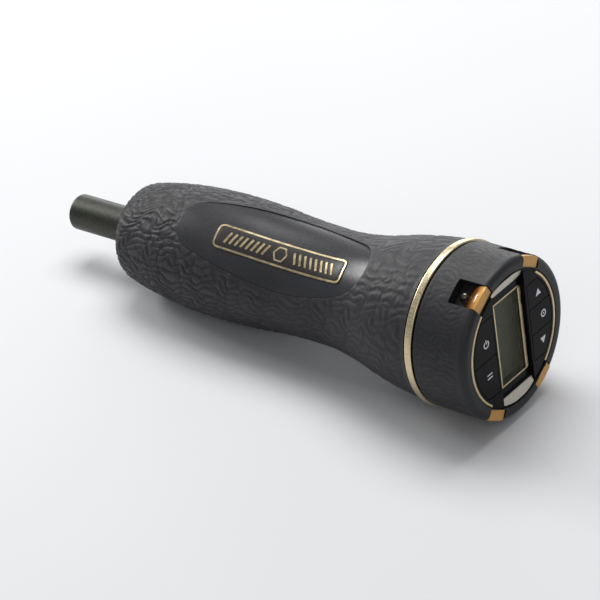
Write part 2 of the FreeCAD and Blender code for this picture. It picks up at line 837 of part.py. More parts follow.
def lamps():
    """A round lamp and an amber lens block in each of the four notches."""
    lenses = []
    domes = []
    half = d.notch_half - 0.2
    floor = d.notch_floor + 0.05
    for index, angle in enumerate((d.notch_angle, -d.notch_angle, d.notch_angle + 180, 180 - d.notch_angle)):
        lens = new_body(f"lamp_lens_{index + 1}", turn=angle, keep=False)
        sketch = sketch_on(lens, "XZ_Plane")
        start = d.notch_start + 4.6
        end = d.bezel_front - 0.1
        outline(sketch, [(start, floor), (end, floor), (end, floor + 2.6), (end - 1.3, floor + 3.1),
                         (start, floor + 0.9)])
        extrude(lens, sketch, half * 2, both=True)
        lenses.append(lens)
        dome = new_body(f"lamp_{index + 1}", turn=angle, base=(d.notch_start + 2.5, 0, 0), keep=False)
        profile = sketch_on(dome, "XZ_Plane")
        base = 0.5
        bulb = 1.45
        outline(profile, [(0, floor), (bulb, floor), (bulb, floor + base), (0, floor + base + bulb)], {2: bulb})
        turn = dome.newObject("PartDesign::Revolution", f"{dome.Name}_turn")
        turn.Profile = profile
        turn.ReferenceAxis = (profile, ["V_Axis"])
        turn.Angle = 360
        domes.append(dome)
    join("lamp_lenses", lenses)
    join("indicator_lamps", domes)


def bezel():
    body = new_body("bezel")
    lip = 0.3
    revolve(body, [
        (d.bezel_back, 0),
        (d.bezel_back, d.bezel_radius),
        (d.bezel_front - lip, d.bezel_radius),
        (d.bezel_front - lip, d.trim_inner),
        (d.bezel_front, d.trim_inner),
        (d.bezel_front, 0),
    ])
    channel = sketch_on(body, "XZ_Plane")
    floor = d.channel_floor
    ramp_foot = floor + 0.5
    outline(channel, [(floor, -15.8), (ramp_foot, -16.6), (d.bezel_front + 0.1, -20.2), (d.bezel_front + 2, -23),
                      (d.bezel_front + 2, 23), (d.bezel_front + 0.1, 20.2), (ramp_foot, 16.6), (floor, 15.8)])
    extrude(body, channel, d.channel_half * 2, cut=True, both=True)
    block(body, (d.bezel_back, -d.window_half_width, -d.window_half_height),
          (d.bezel_front, d.window_half_width, d.window_half_height), cut=True)
    windows = sketch_on(body, "YZ_Plane", d.bezel_back)
    for side in (-1, 1):
        key_outline(windows, side, -d.key_half_height, d.key_half_height, Size(0), Size(0))
    extrude(body, windows, d.bezel_front - d.bezel_back, cut=True)
    board_front = d.board_x + d.board_thickness
    for y, z in post_places():
        disc(body, board_front, d.bezel_back - board_front, (y, z), d.post_radius)
    holes = sketch_on(body, "YZ_Plane", board_front)
    for y, z in post_places():
        circle(holes, (y, z), 0.7)
    extrude(body, holes, 4, cut=True)


def post_places():
    return [(d.post_y * side, d.post_z * up) for side in (-1, 1) for up in (-1, 1)]


def key_outline(sketch, side, low, high, inner_margin, outer_margin):
    """A key's outline: straight beside the display, and round along the head's rim."""
    inner = d.key_inner + inner_margin
    outer = d.key_outer - outer_margin
    low = as_size(low)
    high = as_size(high)
    low_reach = hypotenuse_side(outer, low)
    high_reach = hypotenuse_side(outer, high)
    corners = [(inner * side, low), (low_reach * side, low), (high_reach * side, high), (inner * side, high)]
    outline(sketch, corners, {1: outer if side > 0 else -outer})


def trims():
    """Gold strips beside the display window, and gold arcs along the rim between the notches."""
    strips = []
    arcs = []
    clear = 0.03
    cut_angle = d.notch_angle + 10.5
    for side, name in ((-1, "left"), (1, "right")):
        strip = new_body(f"display_trim_{name}", keep=False)
        low = d.window_half_width - 0.45
        sketch = sketch_on(strip, "YZ_Plane", d.channel_floor)
        high = d.window_half_width + 0.8
        rectangle(sketch, *sorted([(low * side, -d.window_half_height), (high * side, d.window_half_height)],
                                  key=lambda point: point[0].number))
        extrude(strip, sketch, 0.35)
        strips.append(strip)
        arc = new_body(f"rim_trim_{name}", keep=False)
        sketch = sketch_on(arc, "YZ_Plane", d.bezel_front - 0.3)
        inner = d.trim_inner + clear
        outer = d.bezel_radius - clear
        inner_reach = (inner * cut_angle.sine() * side, inner * cut_angle.cosine())
        outer_reach = (outer * cut_angle.sine() * side, outer * cut_angle.cosine())
        corners = [(inner_reach[0], -inner_reach[1]), (outer_reach[0], -outer_reach[1]), outer_reach, inner_reach]
        outline(sketch, corners, {1: outer * side, 3: -(inner * side)})
        extrude(arc, sketch, 0.5)
        arcs.append(arc)
    join("display_trims", strips)
    join("rim_trims", arcs)


def display():
    clear = 0.05
    lens = new_body("display_lens")
    block(lens, (d.channel_floor - 1.0, clear - d.window_half_width, clear - d.window_half_height),
          (d.channel_floor - 0.1, d.window_half_width - clear, d.window_half_height - clear))
    module = new_body("display_module")
    module_back = d.bezel_back - 2.1
    block(module, (module_back, -6.7, -14), (d.bezel_back - 0.1, 6.7, 14))
    board_front = d.board_x + d.board_thickness
    frame = new_body("display_frame")
    block(frame, (board_front, -7.1, -14.4), (module_back - 0.05, 7.1, 14.4))
    block(frame, (board_front, -6.0, -13.3), (module_back - 0.05, 6.0, 13.3), cut=True)
    connector = new_body("display_connector")
    block(connector, (board_front, -5.2, -12.6), (module_back - 0.05, 5.2, -10.8))


def board():
    body = new_body("main_board")
    disc(body, d.board_x, d.board_thickness, (0, 0), d.board_radius)
    holes = sketch_on(body, "YZ_Plane", d.board_x)
    for y, z in post_places():
        circle(holes, (y, z), 0.95)
    extrude(body, holes, d.board_thickness, cut=True)
    chip = new_body("controller_chip")
    block(chip, (d.board_x - 1.1, 7.5, -3.5), (d.board_x, 14.5, 3.5))
    buzzer = new_body("buzzer")
    disc(buzzer, d.board_x - 3.6, 3.6, (-6, -6), 5)
    disc(buzzer, d.board_x - 3.6, 1, (-6, -6), 1, cut=True)
    screws = []
    for index, (y, z) in enumerate(post_places()):
        screw = new_body(f"board_screw_{index + 1}", keep=False)
        disc(screw, d.board_x, 4.6, (y, z), 0.65)
        disc(screw, d.board_x - 1.2, 1.2, (y, z), 1.6)
        drive = sketch_on(screw, "YZ_Plane", d.board_x - 1.2)
        rectangle(drive, (y - 1.0, z - 0.25), (y + 1.0, z + 0.25))
        extrude(screw, drive, 0.7, cut=True)
        screws.append(screw)
    join("board_screws", screws)


KEYS = (
    # label, side, lower and upper end as shares of the key field's half height, switch height
    ("button_power", -1, 0.0, 1.0, 5.6),
    ("button_unit", -1, -1.0, 0.0, -5.6),
    ("button_up", 1, 1 / 3, 1.0, 8.1),
    ("button_mode", 1, -1 / 3, 1 / 3, 0.0),
    ("button_down", 1, -1.0, -1 / 3, -8.1),
)


def keys():
    switches = []
    board_front = d.board_x + d.board_thickness
    plunger_top = board_front + 2.2
    half_gap = d.key_gap / 2
    for label, side, low_share, high_share, height in KEYS:
        low = d.key_half_height * low_share + (half_gap if abs(low_share) < 1 else d.key_gap)
        high = d.key_half_height * high_share - (half_gap if abs(high_share) < 1 else d.key_gap)
        body = new_body(label)
        cap = sketch_on(body, "YZ_Plane", d.bezel_back - 0.1)
        key_outline(cap, side, low, high, d.key_gap, d.key_gap)
        extrude(body, cap, d.bezel_front - d.bezel_back + 0.1)
        flange = sketch_on(body, "YZ_Plane", d.bezel_back - 0.7)
        key_outline(flange, side, low, high, Size(-0.4), Size(-0.35))
        extrude(body, flange, 0.6)
        stem_start = plunger_top + d.key_travel + 0.1
        disc(body, stem_start, d.bezel_back - 0.7 - stem_start, (d.switch_y * side, height), 1.5)
        switch = new_body(f"switch_{label}", keep=False)
        centre = (d.switch_y * side, Size(height))
        size = 2.1
        block(switch, (board_front, centre[0] - size, centre[1] - size),
              (board_front + 1.5, centre[0] + size, centre[1] + size))
        disc(switch, board_front + 1.5, plunger_top - board_front - 1.5, centre, 1.1)
        switches.append(switch)
    join("key_switches", switches)


def head_seal():
    body = new_body("head_seal")
    section = 0.53
    centre = d.head_spigot_radius - 0.45
    revolve(body, [(d.seal_x - section, centre), (d.seal_x + section, centre)],
            {0: -Size(section + 0.0001), 1: -Size(section + 0.0001)})


def check_everything():
    """Stops if any object failed, or any sub-part's shape is missing or broken."""
    for item in doc.Objects:
        if "Invalid" in item.State or "Error" in item.State:
            raise RuntimeError(f"{item.Label} failed: {item.State}")
    for part in parts:
        if part.Shape.isNull() or not part.Shape.isValid():
            raise RuntimeError(f"{part.Label} has no valid shape")


def main():
    drive_shaft()
    bit_magnet()
    nose_bearing()
    torsion_beam()
    strain_gauges()
    coupling_pin()
    cap_screws("beam_screws", 3, d.beam_screw_ring, d.flange_x + d.flange_width, d.flange_width + 4, 0.9, 1.9, 1.6,
               d.panel_turn)
    sensor_lead()
    core_and_grip()
    smooth_panel("badge_panel", Size(0), d.panel_seat_radius, d.panel_turn)
    badge()
    battery_door()
    door_screw()
    battery_cradle()
    contacts()
    battery()
    battery_leads()
    ring("gold_band", d.band_start, d.band_end, d.head_spigot_radius + 0.05, d.band_radius)
    head_seal()
    head_shell()
    cap_screws("head_screws", 3, d.head_screw_ring, d.core_end + 1.4, Size(5.5), 0.8, 1.6, 1.2, Size(0))
    lamps()
    bezel()
    trims()
    display()
    board()
    keys()
    doc.recompute()
    check_everything()
    os.makedirs("parts", exist_ok=True)
    for part in parts:
        part.Shape.exportStep(f"parts/{part.Label}.step")
    print(len(parts), "sub-parts")
    for part in parts:
        box = part.Shape.BoundBox
        print(f"{part.Label:20s} {len(part.Shape.Solids)} {part.Shape.Volume:10.1f}",
              f"{box.XMin:7.1f} {box.XMax:7.1f} {box.YMin:7.1f} {box.YMax:7.1f} {box.ZMin:7.1f} {box.ZMax:7.1f}")


main()
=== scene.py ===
import json
import math

import bmesh
import bpy
import numpy as np
from mathutils import Matrix, Vector
from mathutils.bvhtree import BVHTree


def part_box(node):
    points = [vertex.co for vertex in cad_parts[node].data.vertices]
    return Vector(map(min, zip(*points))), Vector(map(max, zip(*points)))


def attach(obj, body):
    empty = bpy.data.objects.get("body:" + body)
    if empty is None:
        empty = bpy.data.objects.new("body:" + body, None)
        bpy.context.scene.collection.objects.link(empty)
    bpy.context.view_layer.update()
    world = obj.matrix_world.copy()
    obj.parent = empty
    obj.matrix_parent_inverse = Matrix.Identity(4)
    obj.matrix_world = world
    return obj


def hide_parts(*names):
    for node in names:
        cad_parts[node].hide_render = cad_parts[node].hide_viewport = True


# The looks of a digital torque driver. The tool's axis is X, from the nose to the display head, and +Z is the
# display's upright direction. Lengths are metres. Angles round the tool are measured from +Z towards -Y.

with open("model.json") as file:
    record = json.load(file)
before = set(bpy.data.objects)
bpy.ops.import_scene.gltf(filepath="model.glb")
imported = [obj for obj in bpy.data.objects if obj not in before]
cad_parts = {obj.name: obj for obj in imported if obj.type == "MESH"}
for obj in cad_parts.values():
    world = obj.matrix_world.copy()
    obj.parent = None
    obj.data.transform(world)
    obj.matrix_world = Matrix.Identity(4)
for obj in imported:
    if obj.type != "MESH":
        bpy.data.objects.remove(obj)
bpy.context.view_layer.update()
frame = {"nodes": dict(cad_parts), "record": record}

MM = 0.001
SEED = 41
PANEL_ANGLE = math.radians(30.5)
DOOR_ANGLE = PANEL_ANGLE + math.pi

# The smooth panels' oval: the length of its tips, its half widths where they end, its side arc's radius, and
# how far from the axis the panels are seated
OVAL_TIP = 6.5 * MM
OVAL_NOSE_HALF = 8.0 * MM
OVAL_HEAD_HALF = 8.7 * MM
OVAL_SIDE_ARC = 118 * MM
PANEL_SEAT = 15.0 * MM

# The skin's relief: the pitch of its ridges, the length of their waves, and its depth
GRIP_PITCH = 2.35 * MM
GRIP_WAVE = 6.4 * MM
GRIP_DEPTH = 0.46 * MM
HEAD_PITCH = 1.75 * MM
HEAD_WAVE = 5.0 * MM
HEAD_DEPTH = 0.12 * MM

# The head's side notches: their angle from the display's upright, half width, floor and inner end, and the
# amber lenses' reach inwards past their CAD node
NOTCH_LEAN = math.radians(31)
NOTCH_HALF = 3.9 * MM
NOTCH_FLOOR = 20.5 * MM
NOTCH_START = 154.8 * MM
LENS_TOE = 1.0 * MM


# ---------------------------------------- materials


MATERIALS = {}  # filled by new_material, by name


def fill(socket, value):
    """Sets a socket to a value, or links it to another node's output."""
    if isinstance(value, bpy.types.NodeSocket):
        socket.id_data.links.new(value, socket)
    else:
        socket.default_value = value


def new_material(name, base, roughness, metallic=0.0, **inputs):
    """Keeps a Principled material with fixed sockets under its name. Its shader takes more detail."""
    material = MATERIALS[name] = bpy.data.materials.new(name)
    material.use_nodes = True
    shader = material.node_tree.nodes["Principled BSDF"]
    fixed = {"Base Color": (*base, 1), "Roughness": roughness, "Metallic": metallic, **inputs}
    for key, value in fixed.items():
        fill(shader.inputs[key.replace("_", " ")], value)
    return shader


def node(shader, kind, **inputs):
    """A new node in a shader's tree, with some of its inputs filled."""
    made = shader.id_data.nodes.new(kind)
    for key, value in inputs.items():
        fill(made.inputs[key.replace("_", " ")], value)
    return made


def noise(shader, scale, detail, stretch=(1, 1, 1), distortion=0.0):
    """Noise in the object's own metres: scale is in features per metre."""
    where = node(shader, "ShaderNodeTexCoord").outputs["Object"]
    mapped = node(shader, "ShaderNodeMapping", Vector=where, Scale=stretch).outputs["Vector"]
    return node(shader, "ShaderNodeTexNoise", Vector=mapped, Scale=scale, Detail=detail,
                Distortion=distortion).outputs["Fac"]


def coordinate(shader, axis):
    """One of the object's own coordinates, in metres."""
    where = node(shader, "ShaderNodeTexCoord").outputs["Object"]
    return node(shader, "ShaderNodeSeparateXYZ", Vector=where).outputs[axis]


def calculate(shader, operation, *values):
    """The result of a sum. Each value is a number or another node's output."""
    made = node(shader, "ShaderNodeMath")
    made.operation = operation
    for socket, value in zip(made.inputs, values):
        fill(socket, value)
    return made.outputs[0]


def span(shader, source, low, high, start=0.3, end=0.7):
    """A number from low to high as source goes from start to end."""
    return node(shader, "ShaderNodeMapRange", Value=source, From_Min=start, From_Max=end, To_Min=low,
                To_Max=high).outputs["Result"]


def gloss(shader, source, low, high, start=0.3, end=0.7):
    """Roughness from low to high as source goes from start to end."""
    fill(shader.inputs["Roughness"], span(shader, source, low, high, start, end))


def colour(shader, source, low, high, start=0.3, end=0.7):
    """Colours from low to high as source goes from start to end."""
    made = node(shader, "ShaderNodeValToRGB", Fac=source)
    for element, position, shade in zip(made.color_ramp.elements, (start, end), (low, high)):
        element.position = position
        element.color = (*shade, 1)
    fill(shader.inputs["Base Color"], made.outputs["Color"])
    return made.color_ramp


def bump(shader, source, height):
    """Raises the surface by height, in metres, where source is 1. Bumps stack in the order they are made."""
    made = node(shader, "ShaderNodeBump", Height=source, Distance=height, Strength=1.0)
    normal = shader.inputs["Normal"]
    if normal.links:
        fill(made.inputs["Normal"], normal.links[0].from_socket)
    fill(normal, made.outputs["Normal"])


def moulded(name, dark, light, roughness, grain=2600, grain_height=0.00003, spread=0.08, **inputs):
    """Moulded plastic or rubber: mottled colour, uneven gloss and a fine grain."""
    shader = new_material(name, light, roughness, **inputs)
    fine = noise(shader, grain, 3)
    colour(shader, noise(shader, 90, 3), dark, light)
    gloss(shader, fine, roughness - spread, roughness + spread)
    bump(shader, fine, grain_height)


def ribbed_rubber(name, groove_shade, ridge, roughness):
    """Soft rubber whose raised cells are polished by hands and whose grooves stay dull, with painted shade
    that darkens the grooves.
    """
    shader = new_material(name, ridge, roughness, Specular_IOR_Level=0.38)
    height = node(shader, "ShaderNodeAttribute")
    height.attribute_name = "relief"
    patches = span(shader, noise(shader, 70, 4), 0.0, 0.28)
    # Painted shade: the colour darkens from the raised cells down into the grooves, mixed with random
    # patches.
    painted_shade_and_patches = calculate(shader, "MULTIPLY_ADD", height.outputs["Fac"], 0.75, patches)
    colour(shader, painted_shade_and_patches, groove_shade, ridge, 0.1, 0.95)
    gloss(shader, painted_shade_and_patches, roughness + 0.16, roughness - 0.04, 0.0, 1.0)
    bump(shader, noise(shader, 2400, 4), 0.00004)
    bump(shader, noise(shader, 650, 2), 0.00005)


def metal(name, dark, light, roughness, brush=(1, 1, 1), scale=900, lines=0.00001):
    """Metal with brushed or turned lines: brush stretches them."""
    shader = new_material(name, light, roughness, 1.0)
    streaks = noise(shader, scale, 4, brush)
    colour(shader, streaks, dark, light)
    gloss(shader, streaks, roughness - 0.06, roughness + 0.09)
    bump(shader, streaks, lines)


def gloss_black(name):
    """Piano-black plastic with faint smears and very fine orange peel."""
    shader = new_material(name, (0.004, 0.004, 0.005), 0.12, Specular_IOR_Level=0.07)
    smear = noise(shader, 160, 4, (1, 1.6, 0.7), 0.6)
    colour(shader, smear, (0.003, 0.003, 0.004), (0.007, 0.007, 0.008))
    gloss(shader, smear, 0.07, 0.18)
    bump(shader, noise(shader, 420, 1), 0.000006)


def amber(name):
    """Translucent amber plastic with painted light and shade: dark brown at its inner end, deep in the notch,
    and bright at the head's face.
    """
    shader = new_material(name, (0.45, 0.20, 0.03), 0.24, Coat_Weight=0.08, Coat_Roughness=0.12,
                          Specular_IOR_Level=0.3)
    low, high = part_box("lamp_lenses")
    cloud = noise(shader, 420, 3)
    # Painted light and shade along the lens: dark brown towards its inner end, in the notch's shade, and
    # bright amber at the head's face.
    along = span(shader, coordinate(shader, "X"), -0.12, 0.85, low.x - LENS_TOE, high.x)
    cloud_and_painted_shade = calculate(shader, "MULTIPLY_ADD", cloud, 0.3, along)
    colours = colour(shader, cloud_and_painted_shade, (0.012, 0.004, 0.002), (0.60, 0.31, 0.070), 0.05, 0.92)
    colours.elements.new(0.56).color = (0.13, 0.045, 0.008, 1)
    gloss(shader, cloud, 0.13, 0.24)
    bump(shader, cloud, 0.00004)


def battery_wrap(name):
    """The battery's printed sleeve, with bare steel at both ends."""
    steel, sleeve, cap = (0.62, 0.62, 0.60), (0.06, 0.085, 0.16), 1.45 * MM
    shader = new_material(name, sleeve, 0.3)
    low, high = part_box("battery")
    middle = (low.x + high.x) / 2
    reach = (high.x - low.x) / 2 - cap
    sleeved = calculate(shader, "COMPARE", coordinate(shader, "X"), middle, reach)
    colour(shader, sleeved, steel, sleeve, 0.4, 0.6)
    fill(shader.inputs["Metallic"], span(shader, sleeved, 1.0, 0.0, 0.4, 0.6))
    gloss(shader, noise(shader, 700, 3), 0.24, 0.36)
    bump(shader, noise(shader, 1500, 3), 0.00001)


def display_glass(name):
    """The unlit liquid-crystal panel: olive, turning brown towards its right and lower sides with painted
    shade.
    """
    shader = new_material(name, (0.06, 0.062, 0.04), 0.3, Specular_IOR_Level=0.12)
    low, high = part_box("display_lens")
    # Painted shade: the panel darkens to brown towards its right and lower sides.
    across = span(shader, coordinate(shader, "Y"), 0.0, 0.8, low.y, high.y)
    down = span(shader, coordinate(shader, "Z"), 0.0, 0.3, high.z, low.z)
    shade = calculate(shader, "ADD", across, down)
    colour(shader, shade, (0.150, 0.158, 0.104), (0.032, 0.015, 0.010), 0.42, 1.0)
    gloss(shader, noise(shader, 3000, 2), 0.26, 0.38)


def clear_window(name):
    """The display's clear window."""
    shader = new_material(name, (0.10, 0.105, 0.07), 0.04, Alpha=0.28, Specular_IOR_Level=0.12)
    gloss(shader, noise(shader, 200, 3), 0.03, 0.09)


def make_materials():
    """A material for each slot, and others for the keys' signs, the ramps' facets (a painted reflection) and
    the unlit figures.
    """
    # The first colour of each rubber is the painted shade in its grooves.
    ribbed_rubber("grip_rubber", (0.006, 0.006, 0.007), (0.026, 0.0255, 0.028), 0.50)
    ribbed_rubber("head_plastic", (0.006, 0.006, 0.007), (0.017, 0.017, 0.019), 0.46)
    moulded("panel_plastic", (0.024, 0.024, 0.027), (0.031, 0.031, 0.035), 0.31, 3200, 0.000006,
            Specular_IOR_Level=0.26)
    moulded("core_plastic", (0.016, 0.016, 0.018), (0.026, 0.026, 0.029), 0.55)
    moulded("seal_rubber", (0.010, 0.010, 0.010), (0.020, 0.020, 0.020), 0.65)
    moulded("black_component", (0.012, 0.012, 0.013), (0.022, 0.022, 0.024), 0.5)
    moulded("badge_plate", (0.010, 0.009, 0.008), (0.020, 0.018, 0.015), 0.32, 3600, 0.00001)
    battery_wrap("battery_jacket")
    moulded("wire_sleeve", (0.26, 0.02, 0.02), (0.40, 0.04, 0.03), 0.4)
    moulded("gauge_foil", (0.42, 0.20, 0.05), (0.62, 0.34, 0.10), 0.35)
    moulded("board_green", (0.012, 0.10, 0.04), (0.02, 0.15, 0.07), 0.35)
    moulded("lamp_dark", (0.020, 0.012, 0.008), (0.045, 0.026, 0.016), 0.14, 900, 0.000004, 0.05,
            Coat_Weight=1.0)
    metal("nose_steel", (0.042, 0.044, 0.037), (0.076, 0.078, 0.066), 0.42, (6, 1, 1), 700)
    metal("machined_steel", (0.42, 0.43, 0.44), (0.60, 0.61, 0.62), 0.30, (9, 1, 1))
    metal("spring_steel", (0.50, 0.49, 0.46), (0.66, 0.65, 0.62), 0.24, (1, 8, 1))
    metal("screw_steel", (0.06, 0.06, 0.065), (0.13, 0.13, 0.14), 0.36)
    metal("bronze", (0.42, 0.27, 0.13), (0.62, 0.42, 0.22), 0.42, scale=2200)
    metal("gold_metal", (0.60, 0.49, 0.30), (0.76, 0.65, 0.44), 0.30, (1, 9, 9), 500, 0.000003)
    metal("gold_trim", (0.53, 0.42, 0.25), (0.66, 0.54, 0.34), 0.30, (1, 1, 1), 500, 0.000001)
    gloss_black("bezel_black")
    gloss_black("key_black")
    amber("amber_lens")
    display_glass("lcd_glass")
    clear_window("clear_lens")
    moulded("sign_white", (0.62, 0.62, 0.62), (0.75, 0.75, 0.75), 0.4, 3000, 0.000004)
    # A paler, greyer copy of the gold trim for the ramps' facets: painted reflection of the light above.
    metal("facet_painted_reflection", (0.46, 0.42, 0.36), (0.56, 0.52, 0.45), 0.32, (1, 6, 1), 500, 0.000003)
    moulded("ghost_ink", (0.085, 0.090, 0.060), (0.095, 0.100, 0.067), 0.3, 3000, 0.000002)


# ---------------------------------------- mesh helpers


def linked(name, data):
    """A new object in the scene."""
    obj = bpy.data.objects.new(name, data)
    bpy.context.scene.collection.objects.link(obj)
    return obj


def mesh_from(name, bm):
    """A mesh made of a bmesh, with its faces turned outwards."""
    bmesh.ops.recalc_face_normals(bm, faces=bm.faces)
    mesh = bpy.data.meshes.new(name)
    bm.to_mesh(mesh)
    bm.free()
    return mesh


def sharpen(mesh, crease):
    """Shades a mesh smooth but for edges sharper than crease degrees."""
    mesh.shade_smooth()
    mesh.set_sharp_from_angle(angle=math.radians(crease))


def add_piece(mesh, slot, body="root", material=None, replaces=(), crease=None):
    """A piece that rides on a body, in its slot's material or another. Without a crease it is shaded flat."""
    mesh.materials.append(MATERIALS[material or slot])
    if crease:
        sharpen(mesh, crease)
    obj = linked(mesh.name, mesh)
    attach(obj, body)
    if replaces:
        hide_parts(*replaces)
    return obj


def piece(name, verts, faces, slot, crease=35, **options):
    """A smooth-shaded piece made of points and faces."""
    mesh = bpy.data.meshes.new(name)
    mesh.from_pydata(np.asarray(verts, float).tolist(), [], [list(map(int, f)) for f in faces])
    mesh.update()
    return add_piece(mesh, slot, crease=crease, **options)


def cut_away(obj, bm, crease):
    """Cuts a bmesh's volume out of a piece."""
    cutter = linked("cutter", mesh_from("cutter", bm))
    modifier = obj.modifiers.new("cut", "BOOLEAN")
    modifier.operation = "DIFFERENCE"
    modifier.solver = "EXACT"
    modifier.object = cutter
    bpy.context.view_layer.update()
    view = bpy.context.evaluated_depsgraph_get()
    mesh = bpy.data.meshes.new_from_object(obj.evaluated_get(view), preserve_all_data_layers=True,
                                           depsgraph=view)
    obj.modifiers.clear()
    obj.data = mesh
    bpy.data.objects.remove(cutter)
    mesh.set_sharp_from_angle(angle=math.radians(crease))


def shell(bm, rows):
    """Walls between closed rows of points, and a cap at each end."""
    rows = [[bm.verts.new(point) for point in row] for row in rows]
    for a, b in zip(rows, rows[1:]):
        for k in range(len(a)):
            after = (k + 1) % len(a)
            bm.faces.new([a[k], a[after], b[after], b[k]])
    bm.faces.new(rows[0][::-1])
    bm.faces.new(rows[-1])


def thicken(bm, thickness):
    """Extrudes flat faces along the tool's axis."""
    made = bmesh.ops.extrude_face_region(bm, geom=list(bm.faces))["geom"]
    corners = [g for g in made if isinstance(g, bmesh.types.BMVert)]
    bmesh.ops.translate(bm, vec=(thickness, 0, 0), verts=corners)


def weld_flat(obj):
    """Joins points that coincide, drops the faces that this closes up, and turns the others outwards."""
    bm = bmesh.new()
    bm.from_mesh(obj.data)
    bmesh.ops.remove_doubles(bm, verts=bm.verts, dist=0.001 * MM)
    bmesh.ops.dissolve_degenerate(bm, dist=0.0001 * MM, edges=bm.edges)
    bmesh.ops.recalc_face_normals(bm, faces=bm.faces)
    bm.to_mesh(obj.data)
    bm.free()


def grid_faces(rows, columns, wrap=True):
    """Quads between the points of a grid, row by row. wrap joins the last column to the first."""
    starts = np.arange(columns if wrap else columns - 1)
    i, j = np.meshgrid(np.arange(rows - 1) * columns, starts, indexing="ij")
    after = (j + 1) % columns
    return np.stack([i + j, i + after, i + columns + after, i + columns + j], -1).reshape(-1, 4).tolist()


def ring_faces(rows, columns, wrap=True):
    """The quads of grid_faces, and those that join the last row to the first."""
    last = (rows - 1) * columns
    closing = [[last + j, last + (j + 1) % columns, (j + 1) % columns, j]
               for j in range(columns if wrap else columns - 1)]
    return grid_faces(rows, columns, wrap) + closing


def turns(count):
    """Evenly spaced angles round the tool."""
    return np.arange(count) * 2 * math.pi / count


def turned_point(x, radius, angle):
    """Points at a distance from the axis and an angle from +Z towards -Y."""
    x, radius, angle = np.broadcast_arrays(x, radius, angle)
    return np.stack([x, -radius * np.sin(angle), radius * np.cos(angle)], -1)


def sideways(line, closed=False):
    """Unit vectors across a line of points, to its left."""
    ahead = np.roll(line, -1, 0) - np.roll(line, 1, 0) if closed else np.gradient(line, axis=0)
    ahead /= np.hypot(*ahead.T)[:, None]
    return np.stack([-ahead[:, 1], ahead[:, 0]], -1)


def rounded(points, radius, steps):
    """A closed outline with its corners rounded. radius is one number, or one for each corner."""
    points = [Vector(p) for p in points]
    radii = [radius] * len(points) if np.isscalar(radius) else radius
    out = []
    for i, (corner, r) in enumerate(zip(points, radii)):
        before = points[i - 1] - corner
        after = points[(i + 1) % len(points)] - corner
        half = before.angle(after) / 2
        reach = min(r / math.tan(half), before.length * 0.49, after.length * 0.49) if r > 0 else 0
        if reach <= 1e-9:
            out.append(tuple(corner))
            continue
        start = corner + before.normalized() * reach
        end = corner + after.normalized() * reach
        for k in range(steps + 1):
            t = k / steps
            out.append(tuple(start * (1 - t) ** 2 + corner * 2 * t * (1 - t) + end * t**2))
    return out


def rail(name, rows, closed=False, **options):
    """A solid bar of trim between lines of points that run side by side. closed joins its two ends."""
    count = len(rows[0])
    faces = ring_faces(len(rows), count, closed)
    if not closed:
        starts = [r * count for r in range(len(rows))]
        faces += [starts, [r + count - 1 for r in starts][::-1]]
    weld_flat(piece(name, np.concatenate(rows), faces, "gold_trim", **options))


def distances(line):
    """How far along a line each of its points is."""
    return np.concatenate([[0], np.cumsum(np.hypot(*np.diff(line, axis=0).T))])


def points_along(line, where):
    """Points at the given distances along a line."""
    far = distances(line)
    return np.stack([np.interp(where, far, line[:, k]) for k in (0, 1)], -1)


def rectangle(left, right, low, high):
    return [(left, low), (right, low), (right, high), (left, high)]


def arc(radius, angles):
    return [(radius * math.cos(t), radius * math.sin(t)) for t in angles]


def box_at(name):
    """A CAD node's x range and its greatest distance from the axis."""
    low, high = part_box(name)
    return low.x, high.x, max(-low.y, high.y, -low.z, high.z)


def cad_tree(name):
    """A CAD node's surface, for rays to hit."""
    mesh = frame["nodes"][name].data
    return BVHTree.FromPolygons([v.co for v in mesh.vertices], [tuple(p.vertices) for p in mesh.polygons])


def surface_radius(tree, x, angle):
    """Distance from the axis to a surface at station x and an angle, or None where there is none."""
    outside = 50 * MM
    out = Vector(turned_point(0.0, 1.0, angle))
    hit = tree.ray_cast(Vector((x, 0, 0)) + out * outside, -out)
    return outside - hit[3] if hit[0] else None


def soften(values, width):
    """A running average that keeps the ends where they are."""
    kernel = np.hanning(2 * width + 3)[1:-1]
    before = 2 * values[0] - values[width:0:-1]
    after = 2 * values[-1] - values[-2:-width - 2:-1]
    return np.convolve(np.concatenate([before, values, after]), kernel / kernel.sum(), "valid")


# ---------------------------------------- relief of the grip and the head


def waves(rng, x, angle, radius, length, count=7):
    """Smooth random waves of about the given length, whole round the tool."""
    total = np.zeros(np.broadcast(x, angle).shape)
    most = 2 * math.pi * radius / length
    for _ in range(count):
        around = round(rng.uniform(-most, most))
        along = rng.uniform(0.4, 1.0) * 2 * math.pi / length
        total += np.sin(along * x + around * angle + rng.uniform(0, 2 * math.pi))
    return total / math.sqrt(count)


